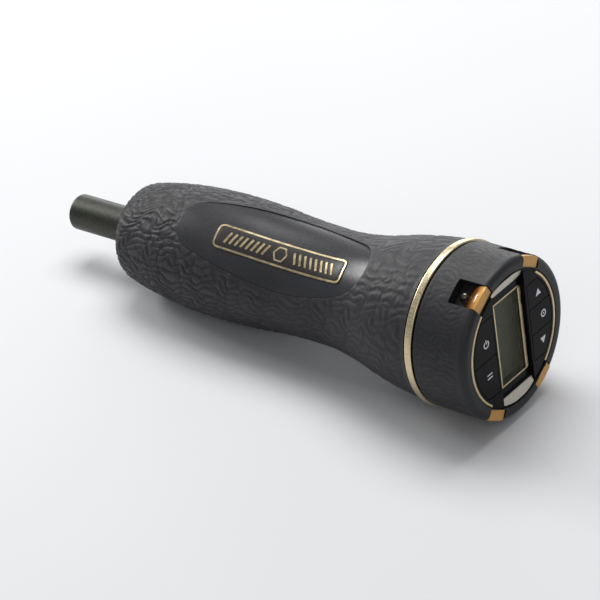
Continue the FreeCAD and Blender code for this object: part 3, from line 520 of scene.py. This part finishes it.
def cell_relief(rng, x, angle, radius, length, width, warp):
    """Height, from 0 in the grooves to 1 on the cells, of a skin of long wavy cells."""
    columns = max(8, round(2 * math.pi * radius / width))
    u = (x + warp * waves(rng, x, angle, radius, length * 2.2)) / length
    v = angle / (2 * math.pi) * columns + warp / width * waves(rng, x, angle, radius, length * 1.7)
    u = u - u.min() + 2
    rows = int(u.max()) + 4
    jitter = rng.uniform(0.08, 0.92, (rows, columns, 2))
    level = rng.uniform(0.0, 1.0, (rows, columns))

    def centres():
        """The cells round each point: their centres' u and v, and their heights."""
        for a in range(-2, 3):
            for b in range(-2, 3):
                row, column = np.floor(u).astype(int) + a, np.floor(v).astype(int) + b
                cell = np.clip(row, 0, rows - 1), column % columns
                yield np.stack([row + jitter[cell][..., 0], column + jitter[cell][..., 1], level[cell]])

    best = np.full(u.shape, np.inf)
    own = np.zeros((3, *u.shape))
    for other in centres():
        far = (other[0] - u) ** 2 + (other[1] - v) ** 2
        own = np.where(far < best, other, own)
        best = np.minimum(far, best)
    border = np.full(u.shape, np.inf)
    for other in centres():
        du, dv, _ = other - own
        gap = np.hypot(du, dv)
        middle = ((other[0] + own[0]) / 2 - u) * du + ((other[1] + own[1]) / 2 - v) * dv
        apart = gap > 1e-6
        border = np.where(apart, np.minimum(border, middle / np.where(apart, gap, 1)), border)
    edge = np.clip(border / 0.20, 0, 1)
    return edge * edge * (3 - 2 * edge) * (0.72 + 0.28 * own[2])


def bark_relief(rng, x, angle, radius, pitch, wave):
    """Height, from 0 to 1, of wavy ridges that run along the tool, part, join and are cracked into scales."""
    ridges = round(2 * math.pi * radius / pitch)
    drift = waves(rng, x, angle, radius, wave * 1.5, 9)
    ripple = waves(rng, x, angle, radius, wave * 0.75, 9)
    phase = ridges * angle + 2.9 * drift + 1.5 * ripple
    ridge = np.abs(np.sin(phase / 2)) ** 0.75
    scales = cell_relief(rng, x, angle, radius, wave, pitch * 1.25, wave * 0.2)
    grit = waves(rng, x, angle, radius, pitch * 0.6)
    return np.clip(ridge * (0.42 + 0.58 * scales) + 0.06 * grit, 0, 1.05)


def store_relief(obj, height):
    """Keeps the relief's height at each point, for the rubber's gloss and the painted shade in its grooves.
    """
    attribute = obj.data.attributes.new("relief", "FLOAT", "POINT")
    attribute.data.foreach_set("value", height.astype(np.float32))


# ---------------------------------------- the smooth panels' oval


def oval_shape(name):
    """The oval's x range and its half width at any station."""
    low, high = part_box(name)
    start, end = low.x, high.x
    nose_arc = (OVAL_NOSE_HALF**2 + OVAL_TIP**2) / (2 * OVAL_TIP)
    head_arc = (OVAL_HEAD_HALF**2 + OVAL_TIP**2) / (2 * OVAL_TIP)
    nose_x, head_x = start + OVAL_TIP, end - OVAL_TIP
    chord = Vector((head_x - nose_x, OVAL_HEAD_HALF - OVAL_NOSE_HALF))
    middle = Vector((nose_x, OVAL_NOSE_HALF)) + chord / 2
    drop = math.sqrt(OVAL_SIDE_ARC**2 - chord.length_squared / 4)
    side = middle + Vector((chord.y, -chord.x)).normalized() * drop

    def half(x):
        x = np.clip(x, start, end)
        nose = np.sqrt(np.maximum(nose_arc**2 - (x - start - nose_arc) ** 2, 0))
        head = np.sqrt(np.maximum(head_arc**2 - (x - end + head_arc) ** 2, 0))
        flank = side.y + np.sqrt(OVAL_SIDE_ARC**2 - (x - side.x) ** 2)
        return np.where(x < nose_x, nose, np.where(x > head_x, head, flank))

    return start, end, half


def oval_loop(start, end, half, count=360):
    """Points round the oval, evenly spaced, as (x, across)."""
    t = np.linspace(0, math.pi, 4000)
    x = start + (end - start) * (1 - np.cos(t)) / 2
    top = np.stack([x, half(x)], -1)
    loop = np.concatenate([top, (top * [1, -1])[::-1][1:]])
    return points_along(loop, np.arange(count) * distances(loop)[-1] / count)


def place(x, across, radius, facing):
    """Points at a distance from the axis, seen as (x, across) from the side that faces an angle."""
    up = np.sqrt(np.maximum(radius**2 - across**2, 0))
    c, s = math.cos(facing), math.sin(facing)
    return np.stack([x, across * c - up * s, across * s + up * c], -1)


def panel_profile(name, facing):
    """The smooth panel's distance from the axis at any station, carried on past its tips."""
    low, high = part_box(name)
    tree = cad_tree(name)
    tip = 0.8 * MM
    stations = np.linspace(low.x + tip, high.x - tip, 180)
    radius = soften(np.array([surface_radius(tree, x, facing) for x in stations]), 6)
    step = 4
    before = radius[0] - (radius[step] - radius[0]) / (stations[step] - stations[0]) * tip
    after = radius[-1] + (radius[-1] - radius[-1 - step]) / (stations[-1] - stations[-1 - step]) * tip
    stations = np.concatenate([[low.x], stations, [high.x]])
    radius = np.concatenate([[before], radius, [after]])
    return lambda x: np.interp(x, stations, radius)


OVAL = oval_shape("badge_panel")
PANEL_RADIUS = panel_profile("badge_panel", PANEL_ANGLE)


def panel_points(x, across, lift, facing=PANEL_ANGLE):
    """Points on the smooth panel, raised by lift."""
    return place(x, across, PANEL_RADIUS(x) + lift, facing)


def smooth_panel(name, facing, gap, replaced, body):
    """An oval inlay with a softly rounded edge, a crisp rim and a closed back."""
    start, end, half = OVAL
    loop = oval_loop(start, end, half)
    tip = 10 * MM
    spine = np.stack([np.clip(loop[:, 0], start + tip, end - tip), np.zeros(len(loop))], -1)
    direction = loop - spine
    reach = np.hypot(*direction.T)
    direction /= reach[:, None]
    reach = reach - gap

    def spots(share):
        return (spine + direction * (reach * share)[:, None]).T

    edge = 0.3 * MM
    rings = []
    for share in (*np.linspace(0.0, 0.93, 26), 0.955, 0.97, 0.982, 0.991, 0.997, 1.0):
        fall = np.clip(1 - (1 - share) * reach / edge, 0, 0.97)
        drop = edge * (1 - np.sqrt(1 - fall**2)) * 0.8
        rings.append(panel_points(*spots(share), -drop, facing))
    back = PANEL_SEAT + 0.1 * MM
    x, across = spots(1)
    rings.append(place(x, across, np.maximum(PANEL_RADIUS(x) - 1.0 * MM, back), facing))
    rings += [place(*spots(share), back, facing) for share in (1, 0.6, 0)]
    obj = piece(name, np.concatenate(rings), grid_faces(len(rings), len(loop)), "panel_plastic", body=body,
                replaces=(replaced,), crease=50)
    weld_flat(obj)
    return obj


def bore_for_screw(door):
    """Cuts the counterbore that the door's screw sits in."""
    low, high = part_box("door_screw")
    radius, seat, depth = 2.3 * MM, 16.45 * MM, 8 * MM
    bm = bmesh.new()
    bmesh.ops.create_cone(bm, cap_ends=True, segments=48, radius1=radius, radius2=radius, depth=depth)
    out = Vector(turned_point(0.0, 1.0, DOOR_ANGLE))
    middle = Vector(((low.x + high.x) / 2, 0, 0)) + out * (seat + depth / 2)
    bm.transform(Matrix.Translation(middle) @ out.to_track_quat("Z", "X").to_matrix().to_4x4())
    cut_away(door, bm, 50)


# ---------------------------------------- grip


def grip_profile():
    """The grip's outline from its nose hole to its back end, evenly spaced, as (x, radius)."""
    start, end, _ = box_at("grip_sleeve")
    tree = cad_tree("grip_sleeve")
    clear_of_panels = PANEL_ANGLE + math.pi / 2
    hole = 6.4 * MM
    shoulder = 14.0 * MM
    ahead = 10 * MM
    front = []
    for radius in np.linspace(hole + 0.05 * MM, shoulder, 60):
        spot = Vector(turned_point(start - ahead, radius, clear_of_panels))
        hit = tree.ray_cast(spot, Vector((1, 0, 0)))
        front.append((hit[0].x, radius))
    side = []
    for x in np.linspace(front[-1][0], end - 0.02 * MM, 700)[1:]:
        looks = [surface_radius(tree, x, clear_of_panels + t) for t in (0, 0.05, 0.1, math.pi)]
        side.append((x, max(filter(None, looks))))
    line = np.array(front + side)
    length = distances(line)[-1]
    step = 0.34 * MM
    line = points_along(line, np.linspace(0, length, round(length / step)))
    return np.stack([soften(line[:, k], 4) for k in (0, 1)], -1)


def nearest_on_loop(points, loop):
    """The nearest points on a closed line of (x, across) points, and how far they are."""
    best = np.full(len(points), np.inf)
    spot = np.zeros_like(points)
    for a, d in zip(loop, np.roll(loop, -1, axis=0) - loop):
        t = np.clip(((points - a) @ d) / (d @ d), 0, 1)
        p = a + t[:, None] * d
        far = np.hypot(*(points - p).T)
        near = far < best
        best[near] = far[near]
        spot[near] = p[near]
    return spot, best


def grip():
    """The rubber sleeve, with its relief as real shape and its two oval openings."""
    rng = np.random.default_rng(SEED)
    line = grip_profile()
    normal = sideways(line)
    columns = 352
    s, a = np.meshgrid(distances(line), turns(columns), indexing="ij")
    mean_radius = 18 * MM
    skin = bark_relief(rng, s, a, mean_radius, GRIP_PITCH, GRIP_WAVE)
    x0, r0 = line[:, :1], line[:, 1:]
    station = np.broadcast_to(x0, s.shape)
    start, end, half = OVAL
    loop = oval_loop(start, end, half, 240)
    calm = np.clip((r0 - 8.2 * MM) / (2 * MM), 0, 1) * np.clip((line[-1, 0] - x0) / (1.6 * MM), 0, 1)
    fade = 0.62 + 0.38 * np.clip((96 * MM - x0) / (30 * MM), 0, 1)
    amount = np.broadcast_to(calm * fade, s.shape).copy()
    margin = 4 * MM
    seam_depth, seam_width = 0.16 * MM, 0.3 * MM
    drop = np.zeros(s.shape)
    inside = np.zeros(s.shape, bool)
    snapped = {}
    for facing in (PANEL_ANGLE, DOOR_ANGLE):
        turn = (a - facing + math.pi) % (2 * math.pi) - math.pi
        across = -r0 * np.sin(turn)
        front = np.abs(turn) < math.pi / 2
        inside |= front & (np.abs(across) < half(station)) & (x0 > start) & (x0 < end)
        near = front & (np.abs(across) < 16 * MM) & (x0 > start - margin) & (x0 < end + margin)
        spot, far = nearest_on_loop(np.stack([station[near], across[near]], -1), loop)
        amount[near] *= np.clip(far / (1.5 * MM), 0, 1) ** 0.7
        drop[near] += seam_depth * np.exp(-((far / seam_width) ** 2))
        snapped.update({k: (p, facing) for k, p in zip(np.flatnonzero(near), spot)})
    lift = (skin - 1) * GRIP_DEPTH * amount - drop
    radius = r0 + normal[:, 1:] * lift
    verts = turned_point(x0 + normal[:, :1] * lift, radius, a).reshape(-1, 3)
    open_point = inside.ravel()
    faces = np.array(grid_faces(len(line), columns))
    kept = faces[open_point[faces].sum(1) < 4]
    for k in np.unique(kept[open_point[kept]]):
        spot, facing = snapped[k]
        verts[k] = place(*spot, radius.ravel()[k], facing)
    obj = piece("grip_skin", verts, kept, "grip_rubber", replaces=("grip_sleeve",), crease=60)
    store_relief(obj, np.clip(skin * amount + (1 - amount) * 0.75, 0, 1).ravel())
    close_grip(obj)


def close_grip(obj):
    """Drops loose points, and turns the sleeve's open edges inwards to give it thickness."""
    bm = bmesh.new()
    bm.from_mesh(obj.data)
    bmesh.ops.delete(bm, geom=[v for v in bm.verts if not v.link_faces], context="VERTS")
    bmesh.ops.remove_doubles(bm, verts=[v for v in bm.verts if v.is_boundary], dist=0.02 * MM)
    rim = [e for e in bm.edges if e.is_boundary]
    made = bmesh.ops.extrude_edge_only(bm, edges=rim)["geom"]
    start, end, _ = box_at("grip_sleeve")
    nose_lip, back_lip = 2.2 * MM, 2.3 * MM
    for v in (g for g in made if isinstance(g, bmesh.types.BMVert)):
        out = Vector((0, v.co.y, v.co.z))
        if v.co.x < start + 1 * MM:
            v.co.x += nose_lip
        elif v.co.x > end - 0.5 * MM:
            v.co -= out.normalized() * back_lip
        else:
            v.co -= out.normalized() * (out.length - PANEL_SEAT - 0.05 * MM)
    bmesh.ops.recalc_face_normals(bm, faces=bm.faces)
    bm.to_mesh(obj.data)
    bm.free()
    sharpen(obj.data, 60)


# ---------------------------------------- badge


def gold_strip(name, path, width, high, closed=True):
    """A raised gold line that follows a path of (x, across) points on the badge's panel."""
    path = np.array(path)
    side = sideways(path, closed) * width / 2
    low = 0.1 * MM
    rows = [panel_points(*(path + side * offset).T, lift)
            for offset, lift in ((-1, low), (-0.9, high), (0.9, high), (1, low))]
    rail(name, rows, closed=closed)


def dense(points):
    """The closed outline with more points along its straight runs."""
    step = 0.5 * MM
    points = np.array(points)
    out = []
    for p, q in zip(points, np.roll(points, -1, 0)):
        count = max(1, round(np.hypot(*(q - p)) / step))
        out += [p + (q - p) * k / count for k in range(count)]
    return np.array(out)


def badge():
    """A blank name plate: a black field with a gold border, a hexagon and a slanted hatch."""
    low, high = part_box("badge")
    start, end = low.x, high.x
    middle_x = (start + end) / 2
    centre, half = -1.8 * MM, 3.9 * MM
    corner = 1.7 * MM
    field = dense(rounded(rectangle(start, end, centre - half, centre + half), corner, 6))
    middle = np.stack([np.clip(field[:, 0], start + half, end - half), np.full(len(field), centre)], -1)
    rings = [panel_points(*(middle + (field - middle) * share).T, lift * MM)
             for share, lift in ((0, 0.16), (0.5, 0.16), (0.97, 0.16), (1.0, 0.12), (1.0, -0.1), (0, -0.1))]
    weld_flat(piece("badge_plate", np.concatenate(rings), grid_faces(len(rings), len(field)), "badge_plate",
                    replaces=("badge",)))
    inset = 0.45 * MM
    border = rectangle(start + inset, end - inset, centre - half + inset, centre + half - inset)
    gold_strip("badge_border", dense(rounded(border, corner, 6)), 0.62 * MM, 0.28 * MM)
    hexagon = [(middle_x + x, centre + y) for x, y in arc(2.3 * MM, turns(6))]
    gold_strip("badge_hexagon", dense(rounded(hexagon, 0.3 * MM, 3)), 0.55 * MM, 0.26 * MM)
    bar_half, lean = 1.7 * MM, 1.4 * MM
    first, pitch = 5.2 * MM, 1.95 * MM
    for side, name in ((-1, "left"), (1, "right")):
        for k in range(8):
            x = middle_x + side * (first + pitch * k)
            path = [(x - side * lean * t / 2, centre + bar_half * t) for t in np.linspace(-1, 1, 9)]
            gold_strip(f"badge_bar_{name}_{k + 1}", path, 0.8 * MM, 0.24 * MM, closed=False)


# ---------------------------------------- nose, band and head


def hexagon_radius(angle, flats):
    """Distance from a hexagon's centre to its side, at an angle from one of its flats' middles."""
    sector = math.pi / 3
    return flats / 2 / np.cos((angle + sector / 2) % sector - sector / 2)


def nose():
    """The black nose with its bevelled tip, hexagonal socket, magnet's pocket and relieved journal."""
    start, end, _ = box_at("drive_shaft")
    radius, journal, pocket = 5.6 * MM, 5.3 * MM, 2.5 * MM
    shoulder = 25 * MM
    chamfer = 0.06 * MM
    bevel = 0.8 * MM
    flats, depth, pocket_depth = 6.45 * MM, 11 * MM, 3 * MM
    angle = turns(144)
    hexagon = hexagon_radius(angle - PANEL_ANGLE, flats)
    rows = [(end, 0), (end, journal), (shoulder + 0.15 * MM, journal), (shoulder, radius - chamfer),
            (shoulder - chamfer, radius)]
    rows += [(x * MM, radius) for x in (20, 15, 10, 6, 3, 1.2)]
    rows += [(start + bevel * (1 - math.sin(t)), radius - bevel * (1 - math.cos(t)))
             for t in np.linspace(0, math.pi / 2, 7)]
    rows += [(start, 4.35 * MM), (start + 0.08 * MM, 4.15 * MM)]
    rows += [(start + 0.75 * MM, hexagon), (start + 0.95 * MM, hexagon), (start + depth, hexagon)]
    rows += [(start + depth, pocket)] + [(start + depth + pocket_depth, r) for r in (pocket, 0)]
    rings = [turned_point(x, r, angle) for x, r in rows]
    weld_flat(piece("nose_shaft", np.concatenate(rings), grid_faces(len(rings), len(angle)), "nose_steel",
                    replaces=("drive_shaft",), crease=28))


def gold_band():
    """The gold band, turned about the axis."""
    start, end, radius = box_at("gold_band")
    inner, edge = 21.5 * MM, 0.55 * MM
    outline = rounded([(start, inner), (start, radius), (end, radius), (end, inner)], [0, edge, edge, 0], 8)
    segments = 288
    rings = [turned_point(x, r, turns(segments)) for x, r in outline]
    piece("gold_ring", np.concatenate(rings), ring_faces(len(rings), segments), "gold_metal",
          replaces=("gold_band",))


def head_shell():
    """The head's housing: finely grained skin, rounded rim and four side notches."""
    rng = np.random.default_rng(SEED + 1)
    start, end, radius = box_at("head_shell")
    bore, rim_bore, ledge = 21.5 * MM, 20.45 * MM, 19.3 * MM
    columns = 384
    angle = turns(columns)
    edge, back_edge = 2.0 * MM, 0.35 * MM
    side = [(start + back_edge * (1 - math.cos(t)), radius - back_edge * (1 - math.sin(t)))
            for t in np.linspace(0, math.pi / 2, 5)]
    step = 0.3 * MM
    side += [(x, radius) for x in np.arange(start + back_edge + step, end - edge - 0.1 * MM, step)]
    side += [(end - edge + edge * math.sin(t), radius - edge + edge * math.cos(t))
             for t in np.linspace(0, math.pi / 2, 13)]
    side = np.array(side)
    s, a = np.meshgrid(side[:, 0], angle, indexing="ij")
    skin = bark_relief(rng, s, a, radius, HEAD_PITCH, HEAD_WAVE)
    calm = np.clip((s - start - 0.4 * MM) / (1.2 * MM), 0, 1)
    calm = calm * np.clip((end - edge * 0.8 - s) / (2 * MM), 0, 1)
    lift = (skin - 1) * HEAD_DEPTH * calm
    outer = turned_point(s, side[:, 1:] + lift, a)
    rest = [(end, radius - edge - 0.5 * MM), (end, rim_bore + 0.15 * MM), (end - 0.15 * MM, rim_bore),
            (end - 3.8 * MM, rim_bore), (end - 3.9 * MM, ledge), (start + 6.4 * MM, ledge),
            (start + 6.3 * MM, bore), (start, bore)]
    inner = np.stack([turned_point(x, r, angle) for x, r in rest])
    rings = np.concatenate([outer, inner])
    verts = rings.reshape(-1, 3)
    obj = piece("head_housing", verts, ring_faces(len(rings), columns), "head_plastic",
                replaces=("head_shell",), crease=32)
    relief = np.full(len(verts), 0.6)
    relief[: outer.shape[0] * columns] = np.clip(skin * calm + (1 - calm) * 0.7, 0, 1).ravel()
    store_relief(obj, relief)
    cut_notches(obj)


def cut_notches(obj):
    """Cuts the four notches, a rounded box each, out of the head's side."""
    _, end, _ = box_at("head_shell")
    past = 3 * MM
    corner = 0.6 * MM
    outline = rounded(rectangle(NOTCH_START, end + past, -NOTCH_HALF, NOTCH_HALF), [corner, 0, 0, corner], 4)
    outside = 30 * MM
    cutters = bmesh.new()
    for angle in notch_angles():
        shell(cutters, [[notch_point(x, across, height, angle) for x, across in outline]
                        for height in (NOTCH_FLOOR, outside)])
    cut_away(obj, cutters, 32)


def notch_angles():
    return (NOTCH_LEAN, -NOTCH_LEAN, math.pi + NOTCH_LEAN, math.pi - NOTCH_LEAN)


def notch_point(x, across, height, angle):
    """A point in the flat frame of a notch: height is outwards from the axis."""
    c, s = math.cos(angle), math.sin(angle)
    return (x, across * c - height * s, across * s + height * c)


# ---------------------------------------- lamps


def lens_rows(angle):
    """Outlines across an amber lens: a block that rises to the head's face, ridged along its middle."""
    low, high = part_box("lamp_lenses")
    start, end = low.x - LENS_TOE, high.x
    half = NOTCH_HALF - 0.15 * MM
    side = half - 0.3 * MM
    crest = [(start + (end - start) * t, NOTCH_FLOOR + (0.4 + 2.85 * math.sin(math.pi * 0.55 * t)) * MM)
             for t in np.linspace(1, 0, 9)]
    for across, rise in ((-half, -0.25), (-side, 0), (0, 0.15), (side, 0), (half, -0.25)):
        upper = [(x, height + rise * MM) for x, height in crest]
        outline = [(start, NOTCH_FLOOR), (end, NOTCH_FLOOR), *upper]
        yield [notch_point(x, across, height, angle) for x, height in outline]


def dome_rows(angle):
    """Rings of a smoked lamp, upwards: its flange, its wall and its dome."""
    low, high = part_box("indicator_lamps")
    middle = (low.x + high.x) / 2
    radius, wall = 1.42 * MM, 0.5 * MM
    flange = radius + 0.15 * MM
    levels = [(flange, 0), (flange, 0.4 * MM), (radius, wall)]
    levels += [(radius * math.cos(t), wall + radius * math.sin(t)) for t in np.linspace(0.1, 1.45, 9)]
    for r, height in levels:
        yield [notch_point(middle + x, y, NOTCH_FLOOR + height, angle) for x, y in arc(r, turns(32))]


def lamps():
    """A smoked dome and a faceted amber lens in each notch."""
    lens, domes = bmesh.new(), bmesh.new()
    for angle in notch_angles():
        shell(lens, lens_rows(angle))
        shell(domes, dome_rows(angle))
    bmesh.ops.recalc_face_normals(lens, faces=lens.faces)
    edges = [e for e in lens.edges if e.calc_face_angle(0) > math.radians(25)]
    bmesh.ops.bevel(lens, geom=edges, offset=0.12 * MM, segments=2, affect="EDGES", clamp_overlap=True)
    add_piece(mesh_from("amber_lenses", lens), "amber_lens", replaces=("lamp_lenses",), crease=40)
    add_piece(mesh_from("smoked_domes", domes), "lamp_dark", replaces=("indicator_lamps",), crease=40)


# ---------------------------------------- display face


def rim_arcs():
    """Gold lines along the rim, between the notches."""
    low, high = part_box("rim_trims")
    inner, outer = 19.45 * MM, 20.2 * MM
    crown = high.x - 0.02 * MM
    edge = 0.14 * MM
    outline = ((inner, low.x), (inner, crown - edge), (inner + edge, crown),
               (outer - edge, crown), (outer, crown - edge), (outer, low.x))
    reach = math.radians(41.5)
    for side, name in ((1, "left"), (-1, "right")):
        angle = np.linspace(reach, math.pi - reach, 73) * side
        rail(f"rim_line_{name}", [turned_point(x, radius, angle) for radius, x in outline],
             replaces=("rim_trims",) if side > 0 else ())


def window_lines():
    """Thin gold lines above and below the display's window."""
    low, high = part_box("display_trims")
    across = np.linspace(-high.y, high.y, 13)
    back, front = low.x - 0.05 * MM, low.x + 0.14 * MM
    edge = 13.3 * MM
    outline = ((back, edge), (front, edge + 0.05 * MM), (front, edge + 0.45 * MM), (back, edge + 0.5 * MM))
    for side, name in ((1, "upper"), (-1, "lower")):
        rail(f"window_line_{name}", [[(x, y, side * z) for y in across] for x, z in outline])


def ramp_facets():
    """Facets on the channel's sloping ends, trimmed by the rim's curve, in a paler copy of the gold trim
    whose paleness is a painted reflection.
    """
    half = 7.25 * MM
    foot_x, foot_z = 163.0 * MM, 16.75 * MM
    front_x, crest_z = 164.1 * MM, 20.2 * MM
    reach = 19.85 * MM
    across = np.linspace(-half, half, 25)
    top = np.minimum(np.sqrt(reach**2 - across**2), 19.75 * MM)
    slope = (front_x - foot_x) / (crest_z - foot_z)
    thick = 0.12 * MM
    crown = thick * 1.6
    for side, name in ((1, "upper"), (-1, "lower")):
        rows = []
        for share, lift in ((0, -thick), (0, thick), (0.03, crown), (0.97, crown), (1, thick), (1, -thick)):
            rise = (top - foot_z) * share
            rows.append(np.stack([foot_x + rise * slope + lift, across, (foot_z + rise) * side], -1))
        rail(f"ramp_{name}", rows, material="facet_painted_reflection", crease=20)


def strip(inner, outer, closed=True):
    """Quads between two lines with the same number of points, as verts and faces in the plane."""
    count = len(inner)
    return inner + outer, [[k, count + k, count + (k + 1) % count, (k + 1) % count]
                           for k in range(count if closed else count - 1)]


def sign(name, parts, centre, x, body):
    """A thin white sign on a key. parts are (points, faces) in the plane, about the sign's centre."""
    bm = bmesh.new()
    for points, faces in parts:
        verts = [bm.verts.new((x, centre[0] + y, centre[1] + z)) for y, z in points]
        for face in faces:
            bm.faces.new([verts[k] for k in face])
    thicken(bm, 0.05 * MM)
    add_piece(mesh_from(name, bm), "key_black", body, "sign_white")


def bar(width, height, z):
    """A level bar at a height."""
    return rectangle(-width / 2, width / 2, z - height / 2, z + height / 2), [[0, 1, 2, 3]]


def arrow(size, up):
    """A triangle that points up (1) or down (-1)."""
    tip = size * up
    return [(-size, -tip * 0.7), (size, -tip * 0.7), (0, tip)], [[0, 1, 2]]


def power_sign(size):
    """An open ring with an upright bar."""
    angles = np.linspace(math.radians(125), math.radians(415), 25)
    ring = strip(arc(size * 0.68, angles), arc(size, angles), closed=False)
    return [ring, bar(size * 0.32, size * 1.05, size * 0.62)]


def key_signs():
    """Generic signs: power, swap, up, ring and down."""
    _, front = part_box("button_up")
    x = front.x - 0.02 * MM
    size = 1.25 * MM
    ring = strip(arc(size * 0.62, turns(28)), arc(size * 0.95, turns(28)))
    dot = (arc(size * 0.22, turns(16)), [list(range(16))])
    swap = [bar(size * 1.9, size * 0.3, z) for z in (size * 0.45, -size * 0.45)]
    sign("sign_power", power_sign(size), (-12.4 * MM, 5.2 * MM), x, "key_power")
    sign("sign_unit", swap, (-12.4 * MM, -5.2 * MM), x, "key_unit")
    sign("sign_up", [arrow(size, 1)], (13.4 * MM, 7.9 * MM), x, "key_up")
    sign("sign_mode", [ring, dot], (14.8 * MM, 0.1 * MM), x, "key_mode")
    sign("sign_down", [arrow(size, -1)], (13.4 * MM, -7.9 * MM), x, "key_down")


def ghost_digits():
    """The faint shapes of four unlit figures, which read along the window."""
    _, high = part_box("display_module")
    x = high.x + 0.01 * MM
    tall, wide, pitch = 5.4 * MM, 3.0 * MM, 5.6 * MM
    half, gap = 0.31 * MM, 0.34 * MM
    strokes = [(0, side * tall / 2, wide, True) for side in (-1, 0, 1)]
    strokes += [(side * wide / 2, up * tall / 4, tall / 2, False) for side in (-1, 1) for up in (-1, 1)]
    bm = bmesh.new()
    for k in range(4):
        along = (k - 1.5) * pitch
        for across, up, length, flat in strokes:
            tip = length / 2 - gap
            flank = tip - half
            shape = [(-tip, 0), (-flank, -half), (flank, -half), (tip, 0), (flank, half), (-flank, half)]
            turned = shape if flat else [(q, p) for p, q in shape]
            bm.faces.new([bm.verts.new((x, up + q, along + across + p)) for p, q in turned])
    thicken(bm, 0.02 * MM)
    add_piece(mesh_from("ghost_digits", bm), "lcd_glass", material="ghost_ink")


# ---------------------------------------- carried-over nodes, stage and camera


def round_edges(obj, width):
    """Welds a CAD node's split corners and rounds its sharp edges a little."""
    weld = obj.modifiers.new("weld", "WELD")
    weld.merge_threshold = 0.001 * MM
    edge = obj.modifiers.new("edge", "BEVEL")
    edge.width = width
    edge.segments = 2
    edge.limit_method = "ANGLE"
    edge.angle_limit = math.radians(35)
    edge.harden_normals = True


def finish_nodes():
    """Gives each carried-over node its slot's material, and those that are seen close up soft edges."""
    slots = {s["node"]: s["material_slot"] for s in frame["record"]["subparts"]}
    for name, obj in frame["nodes"].items():
        obj.data.materials.clear()
        obj.data.materials.append(MATERIALS[slots[name]])
    for name in ("bezel", "button_power", "button_unit", "button_up", "button_mode", "button_down"):
        round_edges(frame["nodes"][name], 0.14 * MM)
    for name in ("display_trims", "battery_cradle", "door_screw"):
        round_edges(frame["nodes"][name], 0.08 * MM)


def floor():
    """A pale floor that the tool rests on, at its gold band and the grip's swell."""
    _, _, band = box_at("gold_band")
    band_x = 145 * MM
    swell_x, swell = 60 * MM, 19.2 * MM
    slope = math.asin((band - swell) / (band_x - swell_x))
    size = 3.0
    clearance = 0.1 * MM
    mesh = bpy.data.meshes.new("floor")
    corners = []
    for x, y in rectangle(-size, size, -size, size):
        drop = band / math.cos(slope) + (x - band_x) * math.tan(slope)
        corners.append((x, y, -drop - clearance))
    mesh.from_pydata(corners, [], [[0, 1, 2, 3]])
    shader = new_material("floor", (0.56, 0.56, 0.57), 0.6)
    colour(shader, noise(shader, 3, 3), (0.55, 0.55, 0.56), (0.58, 0.58, 0.59))
    mesh.materials.append(MATERIALS["floor"])
    linked("floor", mesh)


def area_light(name, spot, aim, size, power):
    """A rectangular light at a spot, turned to its aim."""
    data = bpy.data.lights.new(name, "AREA")
    data.shape = "RECTANGLE"
    data.size, data.size_y = size
    data.energy = power
    obj = linked(name, data)
    obj.location = spot
    obj.rotation_mode = "QUATERNION"
    obj.rotation_quaternion = (Vector(aim) - Vector(spot)).to_track_quat("-Z", "Y")


def lights():
    """Soft studio light: a pale sky, a broad panel overhead, two behind the tool and a weak one in front."""
    world = bpy.data.worlds.new("studio")
    world.use_nodes = True
    background = world.node_tree.nodes["Background"]
    background.inputs["Color"].default_value = (0.94, 0.97, 1, 1)
    background.inputs["Strength"].default_value = 0.36
    bpy.context.scene.world = world
    middle = (0.08, 0, 0)
    area_light("overhead", (0.0, 0.25, 0.75), middle, (0.6, 0.45), 6.5)
    area_light("behind_nose", (-0.90, 0.0, 0.62), (0.11, 0, 0.015), (0.45, 0.2), 7)
    area_light("behind", (-0.45, 0.8, 0.22), middle, (0.8, 0.35), 2.5)
    area_light("front", (0.55, -0.70, 0.55), middle, (0.5, 0.4), 0.8)


def camera():
    """The photograph's viewpoint, with a longer lens that fills the frame with the tool."""
    viewpoint = Vector((0.6183, -0.5752, 0.4667))
    aim = Vector((0.0868, -0.0010, -0.0080))
    upright = Vector((-0.2291, 0.4762, 0.8490))
    data = bpy.data.cameras.new("camera")
    data.lens = 186
    data.sensor_width = 36
    data.clip_start = 0.01
    ahead = (aim - viewpoint).normalized()
    right = ahead.cross(upright).normalized()
    up = right.cross(ahead)
    obj = linked("camera", data)
    obj.matrix_world = Matrix.Translation(viewpoint) @ Matrix((right, up, -ahead)).transposed().to_4x4()
    bpy.context.scene.camera = obj
    bpy.context.scene.view_settings.view_transform = "Standard"


def main():
    camera()
    make_materials()
    finish_nodes()
    grip()
    smooth_panel("badge_side_panel", PANEL_ANGLE, 0.03 * MM, "badge_panel", "root")
    bore_for_screw(smooth_panel("door_panel", DOOR_ANGLE, 0.27 * MM, "battery_door", "battery_door"))
    badge()
    nose()
    gold_band()
    head_shell()
    lamps()
    rim_arcs()
    window_lines()
    ramp_facets()
    key_signs()
    ghost_digits()
    floor()
    lights()


main()
